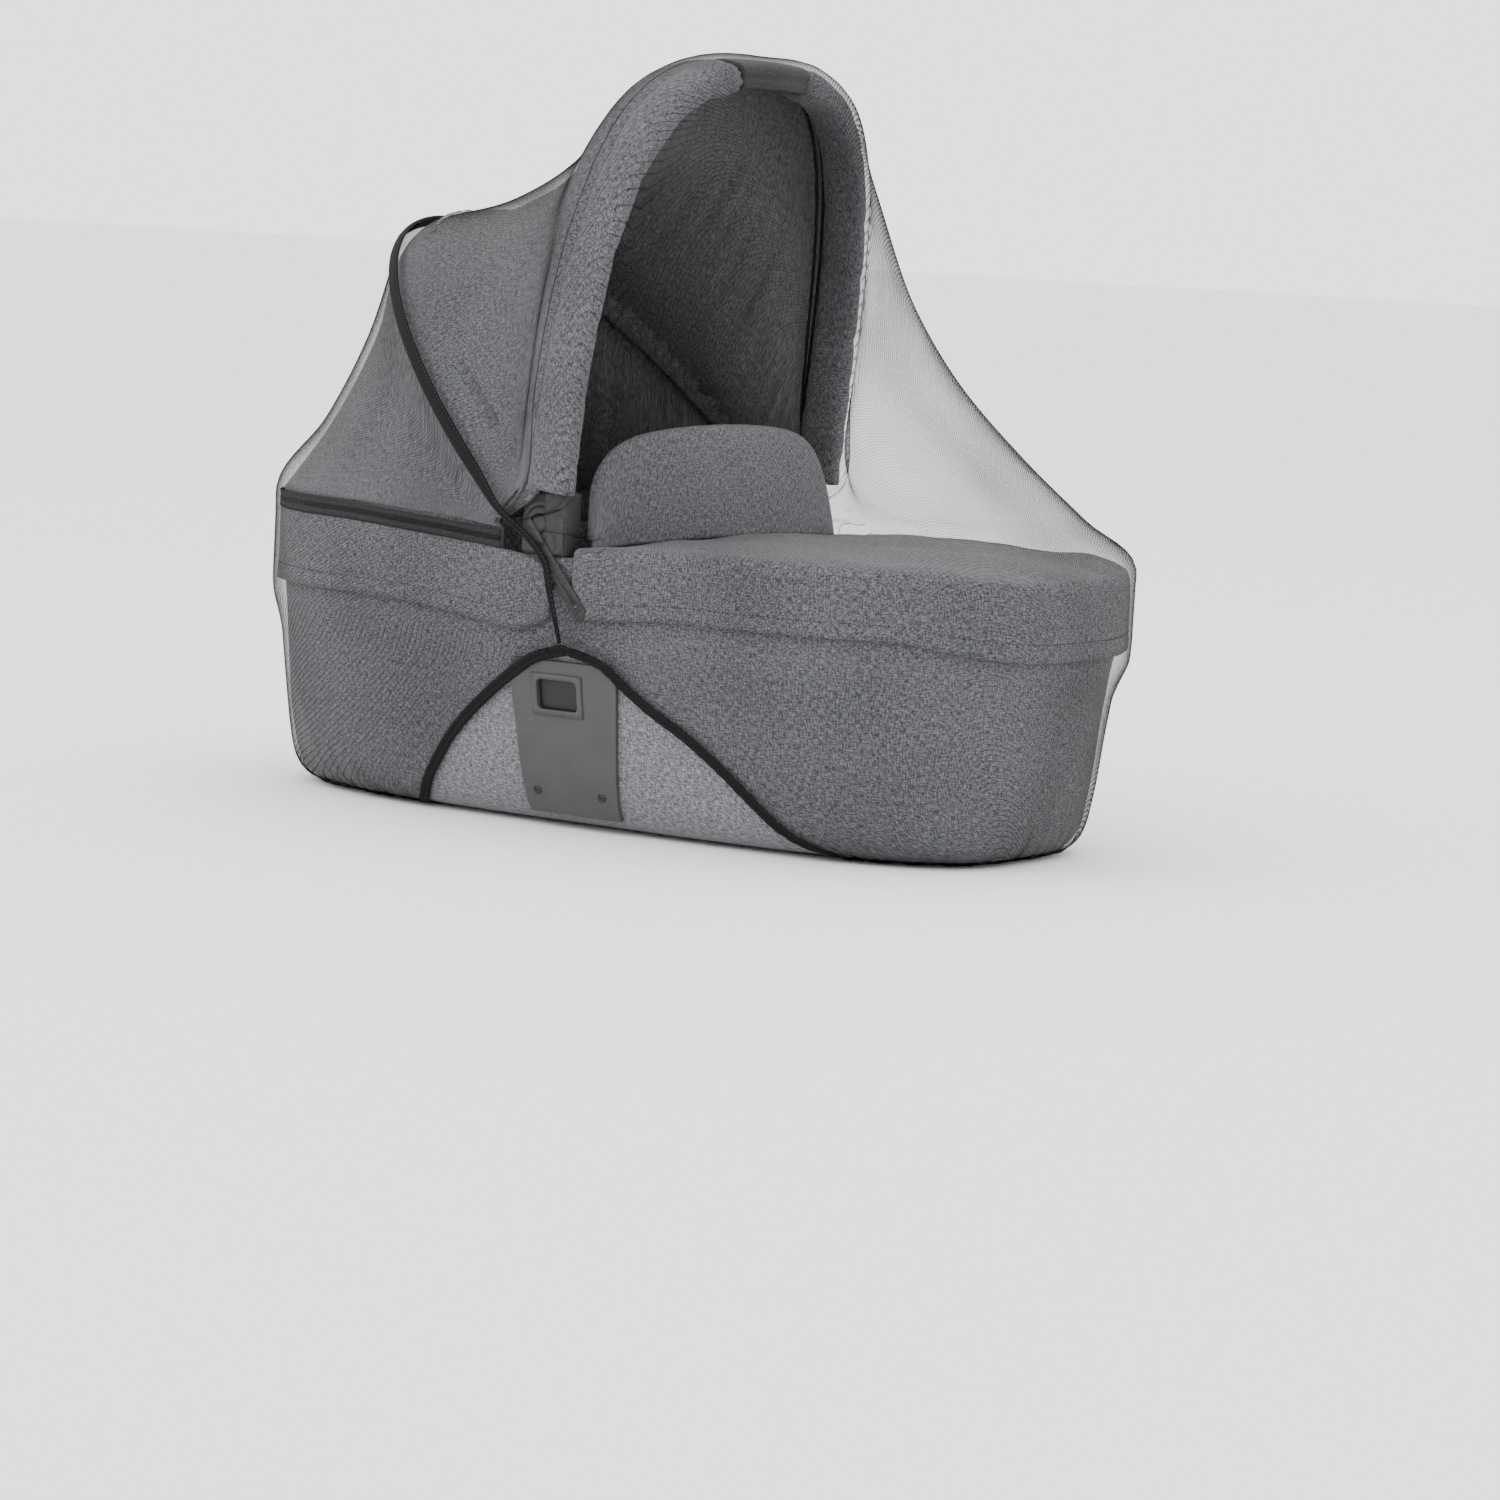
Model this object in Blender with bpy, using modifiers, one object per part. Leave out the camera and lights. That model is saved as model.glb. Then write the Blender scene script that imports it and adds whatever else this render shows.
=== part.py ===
"""A sheer mosquito net stretched over a hooded carrycot.

The net is two panels joined over the hood's rear bow. It hugs the hood and the
body, spans freely from the front bow to the foot end, leaves an arch open on
each side for the adapters, and ends in an elastic hem under the base.
+X points to the foot end, -X to the hood, and the base rests on z = 0.
"""

import math

import bmesh
import bpy
import numpy as np

# Main sizes, in millimetres
HALF_LENGTH = 405.0
HALF_WIDTH = 207.0
HEAD_POWER = 3.0
FOOT_POWER = 3.2
NET_THICKNESS = 2.0
BINDING_WIDTH = 9.0
BINDING_THICKNESS = 2.0
JOIN_GAP = 0.4
SEAT_GAP = 0.4
SEAM_HALF_GAP = 1.2

# Front bow, rear bow and their pivots
FRONT_BOW = dict(
    x=-7.0, z=273.0, tilt=-8.3, height=380.0, half_width=203.0, power=3.15, bend=7.0, start=0.31
)
REAR_BOW = dict(
    x=-51.0, z=270.0, tilt=45.6, height=339.0, half_width=203.0, power=1.97, bend=0.0, start=0.5
)
ROLL_HALF_WIDTH = 20.0
ROLL_HALF_DEPTH = 11.0
GRIP_HALF_LENGTH = 50.0
GRIP_HALF_WIDTH = 18.5
GRIP_HALF_DEPTH = 10.5
ROLL_FLARE = 0.1
SLEEVE_RADIUS = 5.0
HOOD_SAG = 30.0
BACK_SAG = 15.0
SPAN_SAG = 48.0

# Columns from the near side's middle (1) to the end's middle (0), denser at the
# corners, and the matching angles along a bow, in degrees
COLUMNS = (1.0, 0.966, 0.925, 0.845, 0.755, 0.665, 0.575, 0.485, 0.4, 0.29, 0.145, 0.0)
BOW_ANGLES = (0.0, 6.5, 14.0, 22.0, 30.0, 38.0, 46.0, 54.0, 64.0, 77.0, 90.0)

# The net's inner face, from the rim down to the base and in to the hem
# columns: z at side, head, foot, then inset at side, head, foot
NET_PROFILE = (
    (257.0, 267.0, 245.0, 2.0, 2.0, 2.0),
    (236.0, 244.0, 230.0, 2.0, 2.0, 2.0),
    (212.0, 214.0, 208.0, 2.0, 2.0, 2.0),
    (165.0, 178.0, 169.0, 2.5, 2.0, 2.0),
    (152.0, 160.0, 155.0, 7.0, 6.5, 8.0),
    (138.0, 140.0, 138.0, 12.5, 10.5, 14.5),
    (110.0, 110.0, 110.0, 18.0, 12.5, 19.0),
    (75.0, 75.0, 75.0, 24.5, 14.5, 22.0),
    (50.0, 50.0, 50.0, 30.0, 16.0, 24.5),
    (28.0, 28.0, 28.0, 36.0, 19.0, 28.0),
    (14.0, 14.0, 14.0, 43.0, 25.0, 33.0),
    (6.0, 6.0, 6.0, 52.0, 34.0, 41.0),
    (2.0, 2.0, 2.0, 66.0, 50.0, 52.0),
    (2.0, 2.0, 2.0, 121.0, 105.0, 107.0),
)

# The tub's outer face: z, then inset at side, head, foot
TUB_PROFILE = (
    (235.0, 10.5, 12.2, 12.5),
    (182.0, 10.8, 12.4, 12.8),
    (165.0, 14.0, 13.2, 16.0),
    (125.0, 20.0, 15.0, 21.0),
    (50.0, 33.5, 18.8, 27.5),
    (26.0, 40.5, 22.5, 31.5),
    (12.0, 49.0, 30.0, 38.0),
    (5.0, 60.0, 41.0, 48.0),
    (2.4, 74.0, 58.0, 60.0),
)
TUB_WALL = 7.0

# Seam between the panels below the rear bow, and the two arms of the side arch
# columns: x, z
SEAM = ((-46, 268), (-34, 257), (-14, 240), (-5, 229), (0, 208), (8, 183), (13.5, 162.2))
HEAD_ARM = ((17, 153), (-15, 145), (-60, 116), (-107, 76), (-139, 37), (-158, 10))
FOOT_ARM = ((17, 153), (45, 146), (80, 119), (140, 83), (182, 48), (214, 20), (236, 8))
HEAD_ARM_BASE = ((-168, 66), (-172, 121))
FOOT_ARM_BASE = ((252, 66), (262, 121))
ROWS_ABOVE = (257, 236, 205, 178)
ROWS_BELOW = (150, 138, 120, 98, 75, 50, 28, 13, 6)

BAND_END_X = -3.0
ZIP_END_X = -58.0
ZIP_HEIGHT = 15.0
APRON_START_X = 20.0

# Cloth of the hood, the band and the foot cover
CLOTH_INSET = 5.0
ZIP_INSET = 5.4
CANOPY_THICKNESS = 3.0
BAND_THICKNESS = 3.5
APRON_THICKNESS = 3.5
ZIP_THICKNESS = 2.6
RIDGE_HALF_WIDTH = 4.8
RIDGE_THICKNESS = 1.5
FLAP_HALF_WIDTH = 174.0
FLAP_HEIGHT = 97.0
FLAP_THICKNESS = 7.0

# Pivot housings, straps and adapter plates on the near side, mirrored to the far one
PIVOT_X = (-37.0, 8.0)
PIVOT_Y = (176.0, 199.4)
PIVOT_Z = (235.5, 289.4)
PIVOT_LIP_Y = (197.2, 200.6)
PIVOT_LIP_Z = (238.0, 270.0)
BUTTON_CENTRE = (-17.0, 199.6, 262.0)
BUTTON_RADIUS = 16.5
BUTTON_DEPTH = 3.6
STRAP_HALF_LENGTH = 50.0
STRAP_HALF_WIDTH = 7.0
STRAP_Y = (202.3, 203.9)
STRAP_CENTRE = (2.8, 203.1, 223.9)
STRAP_FALL = (76.0, 95.0)
STRAP_HOLE = (25.0, 203.1, 196.0)
STRAP_HOLE_RADIUS = 1.9
ADAPTER_X = 7.0
ADAPTER_HALF_WIDTH = 56.0
ADAPTER_THICKNESS = 4.0
ADAPTER_HEIGHTS = (147.0, 138.0, 125.0, 85.0, 50.0, 26.0, 14.0)
SLOT_X = (-20.0, 22.0)
SLOT_Z = (104.0, 130.0)


def clear_scene():
    for item in list(bpy.data.objects):
        bpy.data.objects.remove(item)


def make_collection(name):
    group = bpy.data.collections.new(name)
    bpy.context.scene.collection.children.link(group)
    return group


def make_material(name, color, roughness, alpha=1.0):
    material = bpy.data.materials.new(name)
    material.use_nodes = True
    shader = material.node_tree.nodes["Principled BSDF"]
    shader.inputs["Base Color"].default_value = (*color, 1.0)
    shader.inputs["Roughness"].default_value = roughness
    shader.inputs["Metallic"].default_value = 0.0
    shader.inputs["Alpha"].default_value = alpha
    return material


def finish_mesh(name, mesh, group, material, smooth=True):
    bm = bmesh.new()
    bm.from_mesh(mesh)
    bmesh.ops.remove_doubles(bm, verts=bm.verts, dist=0.00003)
    bmesh.ops.recalc_face_normals(bm, faces=bm.faces)
    bm.to_mesh(mesh)
    bm.free()
    if smooth:
        mesh.shade_smooth()
        mesh.set_sharp_from_angle(angle=math.radians(40))
    part = bpy.data.objects.new(name, mesh)
    part.data.materials.append(material)
    group.objects.link(part)
    return part


def loft(name, rows, group, material, outward, closed=False):
    """An open sheet through rows of points, each row with the same count."""
    rows = [np.asarray(row, float) for row in rows]
    count = len(rows[0])
    points = [tuple(point * 0.001) for row in rows for point in row]
    faces = []
    last = count if closed else count - 1
    for low in range(len(rows) - 1):
        for col in range(last):
            nxt = (col + 1) % count
            faces.append(
                (
                    low * count + col,
                    low * count + nxt,
                    (low + 1) * count + nxt,
                    (low + 1) * count + col,
                )
            )
    mesh = bpy.data.meshes.new(name)
    mesh.from_pydata(points, [], faces)
    part = finish_mesh(name, mesh, group, material)
    face_towards(part, outward)
    return part


def face_towards(part, outward):
    """Turn an open sheet so that its widest face looks along the given way."""
    mesh = part.data
    widest = max(mesh.polygons, key=lambda face: face.area)
    centre = np.array(widest.center) * 1000
    if np.dot(np.array(widest.normal), outward(centre)) < 0:
        mesh.flip_normals()


def thicken(part, thickness, side, even=True):
    """Solidify a sheet: side 1 grows outwards, -1 grows inwards; even keeps folds full thick."""
    solid = part.modifiers.new("Thickness", "SOLIDIFY")
    solid.thickness = thickness * 0.001
    solid.offset = side
    solid.use_even_offset = even
    solid.use_rim = True
    return part


def from_centre(point):
    return point - np.array((-30.0, 0.0, 200.0))


def unit(vector):
    return vector / np.linalg.norm(vector)


def signed_power(value, power):
    return math.copysign(abs(value) ** power, value)


def plan_point(psi, half_length, half_width, power, end):
    """A point of the plan outline: psi 0 at the end's middle, 90 degrees at the side's."""
    x = end * half_length * signed_power(math.cos(psi), 2 / power)
    y = -half_width * signed_power(math.sin(psi), 2 / power)
    return x, y


def plan_angle(x, half_length, power, end):
    ratio = max(-0.999, min(0.999, end * x / half_length))
    return math.acos(signed_power(ratio, power / 2))


def end_power(end):
    return FOOT_POWER if end > 0 else HEAD_POWER


def ring_point(psi, end, z_side, z_end, in_side, in_end):
    """A point on the body's outline, its height sliding from the side's to the end's."""
    half_length = HALF_LENGTH - in_end
    x, y = plan_point(psi, half_length, HALF_WIDTH - in_side, end_power(end), end)
    blend = max(0.0, end * x) / half_length
    return np.array((x, y, z_side + (z_end - z_side) * blend))


def fractions():
    """Column fractions from the near boundary (1) through the end (0) to the far one (-1)."""
    near = list(COLUMNS)
    return near + [-value for value in reversed(near[:-1])]


def ring_row(end, start_x, z_side, z_end, in_side, in_end):
    """One row of a panel: from start_x on the near side, round the end, to the far side."""
    start = plan_angle(start_x, HALF_LENGTH - in_end, end_power(end), end)
    return [
        ring_point(start * share, end, z_side, z_end, in_side, in_end)
        for share in fractions()
    ]


def bow_point(bow, degrees, grow=0.0, grow_width=None, along=0.0):
    """A point of a bow's arch; grow moves it outwards, along moves it square to its plane."""
    wide = grow if grow_width is None else grow_width
    angle = math.radians(degrees)
    tilt = math.radians(bow["tilt"])
    share = signed_power(math.sin(angle), 2 / bow["power"])
    rise = (bow["height"] + grow) * share
    y = -(bow["half_width"] + wide) * signed_power(math.cos(angle), 2 / bow["power"])
    x = bow["x"] - rise * math.sin(tilt) + along * math.cos(tilt)
    x -= bow["bend"] * 4 * share * (1 - share)
    z = bow["z"] + rise * math.cos(tilt) + along * math.sin(tilt)
    return np.array((x, y, z))


def all_bow_angles(bow):
    near = [BOW_ANGLES[0], bow["start"]] + list(BOW_ANGLES[1:])
    return near + [180.0 - value for value in reversed(near[:-1])]


def bow_row(bow, grow, grow_width=None, along=0.0):
    return [bow_point(bow, angle, grow, grow_width, along) for angle in all_bow_angles(bow)]


def between(first, second, share, sag=0.0):
    """A row part of the way between two rows, sunk towards the cot's middle."""
    sink = sag * 4 * share * (1 - share)
    row = []
    for one, two in zip(first, second):
        point = one + (two - one) * share
        room = min(1.0, max(0.0, float(np.linalg.norm(two - one)) - 45.0) / 130.0)
        row.append(shrink([point], sink * room)[0])
    return row


def shrink(row, distance):
    """Move a row towards the cot's middle."""
    middle = np.array((-40.0, 0.0, 260.0))
    return [point + unit(middle - point) * distance for point in row]


def mirror_y(point):
    return point * np.array((1.0, -1.0, 1.0))


def pin_sides(rows, near_points):
    """Put the first column on the given points and the last on their mirror images."""
    for row, point in zip(rows, near_points):
        row[0] = np.asarray(point, float)
        row[-1] = mirror_y(row[0])


def line_points(first, last, count):
    first = np.asarray(first, float)
    last = np.asarray(last, float)
    return [first + (last - first) * step / (count - 1) for step in range(count)]


def smooth_curve(knots, steps=24):
    """Catmull-Rom points through the knots."""
    knots = np.asarray(knots, float)
    padded = np.vstack((2 * knots[0] - knots[1], knots, 2 * knots[-1] - knots[-2]))
    points = []
    for index in range(1, len(padded) - 2):
        p0, p1, p2, p3 = padded[index - 1 : index + 3]
        for t in np.arange(steps) / steps:
            bend = 2 * p0 - 5 * p1 + 4 * p2 - p3
            points.append(
                0.5 * (2 * p1 + (p2 - p0) * t + bend * t**2 + (3 * p1 - p0 - 3 * p2 + p3) * t**3)
            )
    points.append(knots[-1])
    return np.array(points)


def zip_top(x):
    return float(np.interp(x, (-230.0, -110.0, -55.0), (264.0, 257.5, 253.0)))


# The net's surface below the rim is described by x and by the path length down the side
NET_TABLE = np.array(NET_PROFILE)
NET_STEPS = np.hypot(np.diff(NET_TABLE[:, 0]), np.diff(NET_TABLE[:, 3]))
NET_PATH = np.concatenate(((0.0,), np.cumsum(NET_STEPS)))
HEM_PATH = float(NET_PATH[-1])
BASE_PATH = float(NET_PATH[-2])


def path_at_height(z):
    return float(np.interp(-z, -NET_TABLE[:-1, 0], NET_PATH[:-1]))


def path_at_inset(inset):
    return float(np.interp(inset, NET_TABLE[-2:, 3], NET_PATH[-2:]))


def net_values(path, end):
    """z at side and end, inset at side and end, of the net's inner face at a path length."""
    z_col, in_col = (2, 5) if end > 0 else (1, 4)
    columns = (0, z_col, 3, in_col)
    return [float(np.interp(path, NET_PATH, NET_TABLE[:, col])) for col in columns]


def net_point(end, x, path):
    z_side, z_end, in_side, in_end = net_values(path, end)
    psi = plan_angle(x, HALF_LENGTH - in_end, end_power(end), end)
    return ring_point(psi, end, z_side, z_end, in_side, in_end)


def net_row(end, x, path):
    z_side, z_end, in_side, in_end = net_values(path, end)
    return ring_row(end, x, z_side, z_end, in_side, in_end)


def arm_curves(end):
    """The arch's edge and the two lines inside it, as (x, path) points of equal count."""
    knots, base = (FOOT_ARM, FOOT_ARM_BASE) if end > 0 else (HEAD_ARM, HEAD_ARM_BASE)
    on_wall = [(x, path_at_height(z)) for x, z in knots]
    on_base = [(x, path_at_inset(inset)) for x, inset in base]
    edge = smooth_curve(on_wall + on_base)
    along = np.gradient(edge, axis=0)
    along /= np.linalg.norm(along, axis=1)[:, None]
    normal = np.stack((end * -along[:, 1], end * along[:, 0]), 1)
    normal *= -1.0 if normal[0][1] > 0 else 1.0
    inner = edge + normal * BINDING_WIDTH
    panel = edge + normal * (BINDING_WIDTH + JOIN_GAP)
    return edge, inner, panel


def arm_stations(end):
    """Edge, inner and panel points of the arm at each panel row below the apex."""
    edge, inner, panel = arm_curves(end)
    paths = [path_at_height(z) for z in ROWS_BELOW] + [BASE_PATH + 2.0]
    stations = []
    for path in paths:
        at = np.interp(path, np.maximum.accumulate(panel[:, 1]), np.arange(len(panel)))
        pick = [
            [np.interp(at, np.arange(len(line)), line[:, col]) for col in (0, 1)]
            for line in (edge, inner, panel)
        ]
        stations.append(pick)
    return stations


def corner_station(end):
    """The arm's last station, where it turns into the hem."""
    edge_x = (FOOT_ARM_BASE if end > 0 else HEAD_ARM_BASE)[-1][0]
    inner = (edge_x + end * BINDING_WIDTH, HEM_PATH - BINDING_WIDTH)
    cut = BINDING_WIDTH + JOIN_GAP
    return [(edge_x, HEM_PATH), inner, (edge_x + end * cut, HEM_PATH - cut)]


def pull_back(rows, seam_rows):
    """Draw the ridge row and the seam's columns back from the joint by the join gap."""
    for col in range(1, len(rows[0]) - 1):
        shift = rows[1][col] - rows[0][col]
        rows[0][col] = rows[0][col] + shift / np.linalg.norm(shift) * SEAM_HALF_GAP
    for index in range(seam_rows):
        guide = max(index, 1)
        for col, inner in ((0, 1), (-1, -2)):
            shift = rows[guide][inner] - rows[guide][col]
            rows[index][col] = rows[index][col] + shift / np.linalg.norm(shift) * SEAM_HALF_GAP


def lower_rows(end):
    """The panel's rows from below the rim down to the hem binding."""
    seam = np.array(SEAM)
    rows = []
    for z in ROWS_ABOVE[1:]:
        x = float(np.interp(-z, -seam[:, 1], seam[:, 0]))
        rows.append(net_row(end, x, path_at_height(z)))
    rows.append(net_row(end, SEAM[-1][0], path_at_height(SEAM[-1][1] + JOIN_GAP)))
    for station in arm_stations(end) + [corner_station(end)]:
        x, path = station[2]
        rows.append(net_row(end, x, path))
    return rows


def fan_points(count):
    """Where a panel's rows gather on the seam beside the pivot."""
    top = np.array((SEAM[0][0], -204.6, SEAM[0][1]))
    low = net_point(-1, SEAM[1][0], 0.0)
    return line_points(top, low, count)


def head_net_rows():
    ridge = bow_row(REAR_BOW, 3.0, 6.0)
    rim = net_row(-1, ZIP_END_X, 0.0)
    upper = [ridge] + [between(ridge, rim, share, BACK_SAG) for share in (0.35, 0.7)] + [rim]
    pin_sides(upper, fan_points(len(upper)))
    rows = upper + lower_rows(-1)
    pull_back(rows, len(upper) + len(ROWS_ABOVE))
    return rows


def roll_rows(bow, offsets):
    return [bow_row(bow, grow, grow, along) for along, grow in offsets]


def front_net_rows():
    ridge = bow_row(REAR_BOW, 3.0, 6.0)
    # columns: way along the front bow's plane normal, way outwards
    over_roll = ((-20.8, 12.5), (-9.7, 15.0), (6.0, 15.5), (17.6, 10.5), (23.6, 2.5))
    bow_rows = roll_rows(FRONT_BOW, over_roll)
    rim = net_row(1, SEAM[1][0], 0.0)
    upper = [ridge]
    upper += [between(ridge, bow_rows[0], share, HOOD_SAG) for share in (0.33, 0.67)]
    upper += bow_rows
    upper += [between(bow_rows[-1], rim, share, SPAN_SAG) for share in (0.15, 0.35, 0.55, 0.75, 0.9)]
    upper.append(rim)
    pin_sides(upper, fan_points(len(upper)))
    rows = upper + lower_rows(1)
    pull_back(rows, len(upper) + len(ROWS_ABOVE))
    return rows


def build_net(group, mesh_black):
    head = loft("net_head_panel", head_net_rows(), group, mesh_black, from_centre)
    front = loft("net_front_panel", front_net_rows(), group, mesh_black, from_centre)
    for panel in (head, front):
        thicken(panel, NET_THICKNESS, 1, even=False)


def build_edge_binding(name, end, group, material):
    """The elastic tape: down the near arm, round the hem under the base, up the far arm."""
    stations = arm_stations(end)
    first_x = SEAM[-1][0] + end * JOIN_GAP
    apex_x = (FOOT_ARM if end > 0 else HEAD_ARM)[0][0] + end * JOIN_GAP
    apex_path = path_at_height(HEAD_ARM[0][1])
    outer = [net_point(end, apex_x, apex_path)]
    inner = [net_point(end, first_x, path_at_height(SEAM[-1][1]))]
    for station in stations:
        outer.append(net_point(end, *station[0]))
        inner.append(net_point(end, *station[1]))
    edge, tape, _ = corner_station(end)
    hem_outer = net_row(end, *edge)
    hem_inner = net_row(end, *tape)
    outer_path = outer + hem_outer + [mirror_y(point) for point in reversed(outer)]
    inner_path = inner + hem_inner + [mirror_y(point) for point in reversed(inner)]
    tape = loft(name, [outer_path, inner_path], group, material, from_centre)
    return thicken(tape, BINDING_THICKNESS, 1)


def build_ridge_binding(group, material):
    """The black tape over the joint: up the near seam, over the rear bow, down the far one."""
    head = head_net_rows()
    front = front_net_rows()
    centre, left, right, normals = [], [], [], []
    seam = np.array(SEAM[1:])
    for z in (163.4, 172.0, 190.0, 210.0, 228.0, 241.0, 252.0):
        x = float(np.interp(-z, -seam[:, 1], seam[:, 0]))
        width = 1.6 + 1.6 * (z - 163.0) / 90.0
        point = net_point(-1, x, path_at_height(z))
        centre.append(point)
        left.append(point + np.array((-width, 0.0, -width * 0.4)))
        right.append(point + np.array((width, 0.0, width * 0.4)))
        normals.append(np.array((0.0, -1.0, 0.0)))
    middle = (len(head[0]) - 1) // 2
    for col in range(1, middle + 1):
        point = (head[0][col] + front[0][col]) / 2
        width = RIDGE_HALF_WIDTH * min(1.0, 0.7 + 0.1 * col)
        to_head = unit(head[1][col] - head[0][col])
        to_front = unit(front[1][col] - front[0][col])
        centre.append(point)
        left.append(point + to_head * width)
        right.append(point + to_front * width)
        normals.append(None)
    lines = {"left": left, "centre": centre, "right": right}
    count = len(centre)
    for key, line in list(lines.items()):
        lines[key] = line + [mirror_y(point) for point in reversed(line[:-1])]
    spare = [1.4] * 5 + [2.4] * 5 + [1.0] * (count - 10)
    spare = np.array(spare + spare[:-1][::-1])[:, None]
    strip = [lines["left"], lines["centre"], lines["right"]]
    rows = offset_rows(strip, NET_THICKNESS + spare)
    tape = loft("ridge_seam_binding", rows, group, material, from_centre)
    return thicken(tape, RIDGE_THICKNESS, 1)


def offset_rows(rows, distance):
    """Move a three-line strip outwards, its middle line further over the fold."""
    grid = np.array(rows)
    moved = grid.copy()
    along = np.gradient(grid[1], axis=0)
    side_normals = []
    for low in (0, 1):
        across = grid[low + 1] - grid[low]
        normal = np.cross(along, across)
        normal /= np.linalg.norm(normal, axis=1)[:, None]
        outward = np.sum(normal * (grid[1] - np.array((-60.0, 0.0, 220.0))), axis=1)
        normal *= np.sign(outward)[:, None]
        side_normals.append(normal)
    middle = side_normals[0] + side_normals[1]
    middle /= np.linalg.norm(middle, axis=1)[:, None]
    cosine = np.sum(middle * side_normals[0], axis=1)[:, None]
    moved[0] += side_normals[0] * distance
    moved[2] += side_normals[1] * distance
    moved[1] += middle * distance / cosine
    return [list(line) for line in moved]


def build_tub(group, fabric):
    """The body: an open-topped shell with a flat base."""
    rows = []
    count = 48
    for z, in_side, in_head, in_foot in TUB_PROFILE:
        row = []
        for step in range(count):
            psi = 2 * math.pi * step / count
            end = 1 if math.cos(psi) >= 0 else -1
            inset = in_foot if end > 0 else in_head
            angle = psi if end > 0 else math.pi - psi
            row.append(ring_point(angle, end, z, z, in_side, inset))
        rows.append(row)
    tub = loft("tub", rows, group, fabric, from_centre, closed=True)
    bm = bmesh.new()
    bm.from_mesh(tub.data)
    bm.edges.ensure_lookup_table()
    low = min(vert.co.z for vert in bm.verts)
    rim = [edge for edge in bm.edges if edge.is_boundary and edge.verts[0].co.z < low + 0.0005]
    bmesh.ops.contextual_create(bm, geom=rim)
    bmesh.ops.recalc_face_normals(bm, faces=bm.faces)
    bm.to_mesh(tub.data)
    bm.free()
    face_towards(tub, lambda point: point - np.array((0.0, 0.0, 130.0)))
    return thicken(tub, TUB_WALL, -1)


def build_band(group, fabric):
    """The skirt of cloth round the head end, below the zip, with a rounded front corner."""
    top, upper, lower, low = [], [], [], []
    inset = CLOTH_INSET
    start = plan_angle(BAND_END_X, HALF_LENGTH - inset, HEAD_POWER, -1)
    shares = (1.0, 0.985, 0.96) + COLUMNS[2:]
    shares = list(shares) + [-value for value in reversed(shares[:-1])]
    for share in shares:
        x, y = plan_point(start * share, HALF_LENGTH - inset, HALF_WIDTH - inset, HEAD_POWER, -1)
        ceiling = zip_top(x) - ZIP_HEIGHT - SEAT_GAP
        ceiling -= float(np.interp(x, (-58.0, -3.0), (0.0, 6.0)))
        floor = float(np.interp(x, (-164, -107, -53, -20), (185.0, 179.0, 173.0, 171.0)))
        corner = float(np.interp(x, (-14.0, -8.0, -3.0), (0.0, 3.0, 12.0)))
        floor += corner
        ceiling -= corner * 0.5
        heights = (ceiling, ceiling - (ceiling - floor) * 0.35, floor + 14.0, floor)
        for row, z in zip((top, upper, lower, low), heights):
            row.append(np.array((x, y, z)))
    band = loft("head_band", [top, upper, lower, low], group, fabric, from_centre)
    return thicken(band, BAND_THICKNESS, -1)


def build_zip(group, material):
    rows = []
    for drop in (0.0, ZIP_HEIGHT):
        row = []
        for point in ring_row(-1, ZIP_END_X, 250.0, 250.0, ZIP_INSET, ZIP_INSET):
            row.append(np.array((point[0], point[1], zip_top(point[0]) - drop)))
        rows.append(row)
    tape = loft("hood_zip", rows, group, material, from_centre)
    return thicken(tape, ZIP_THICKNESS, -1)


def canopy_rows():
    start = bow_row(FRONT_BOW, 8.0, 5.0, -24.5)
    ridge = bow_row(REAR_BOW, 0.0)
    rim = ring_row(-1, ZIP_END_X, 250.0, 250.0, CLOTH_INSET, CLOTH_INSET)
    rim = [np.array((x, y, zip_top(x) + 2.6)) for x, y, _ in rim]
    net_start = bow_row(FRONT_BOW, 12.5, 12.5, -20.8)
    net_ridge = bow_row(REAR_BOW, 3.0, 6.0)
    rows = [start]
    for share in (0.33, 0.67):
        rows.append(shrink(between(net_start, net_ridge, share, HOOD_SAG), 4.2))
    rows.append(ridge)
    rows += [between(ridge, rim, share, BACK_SAG) for share in (0.35, 0.7)]
    rows.append(rim)
    pin_sides(rows, line_points((-64.0, -199.5, 268.0), rim[0], len(rows)))
    return rows


def build_canopy(group, fabric):
    canopy = loft("hood_canopy", canopy_rows(), group, fabric, from_centre)
    return thicken(canopy, CANOPY_THICKNESS, -1, even=False)


def sweep(name, path, normal, half_along, half_out, sides, group, material, flare=0.0):
    """An oval section carried along a flat arch, closed at both ends, wider low down by flare."""
    bm = bmesh.new()
    loops = []
    centres, tangents = path
    lift = centres[:, 2] - centres[:, 2].min()
    wider = 1.0 + flare * np.clip(1.0 - lift / 160.0, 0.0, 1.0)
    for centre, tangent, scale in zip(centres, tangents, wider):
        out = np.cross(tangent, normal)
        out /= np.linalg.norm(out)
        loop = []
        for side in range(sides):
            angle = 2 * math.pi * side / sides
            point = centre + normal * half_along * scale * math.cos(angle)
            point = point + out * half_out * math.sin(angle)
            loop.append(bm.verts.new(tuple(point * 0.001)))
        loops.append(loop)
    for one, two in zip(loops, loops[1:]):
        for side in range(sides):
            nxt = (side + 1) % sides
            bm.faces.new((one[side], one[nxt], two[nxt], two[side]))
    bm.faces.new(loops[0])
    bm.faces.new(loops[-1])
    mesh = bpy.data.meshes.new(name)
    bm.to_mesh(mesh)
    bm.free()
    return finish_mesh(name, mesh, group, material)


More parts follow.
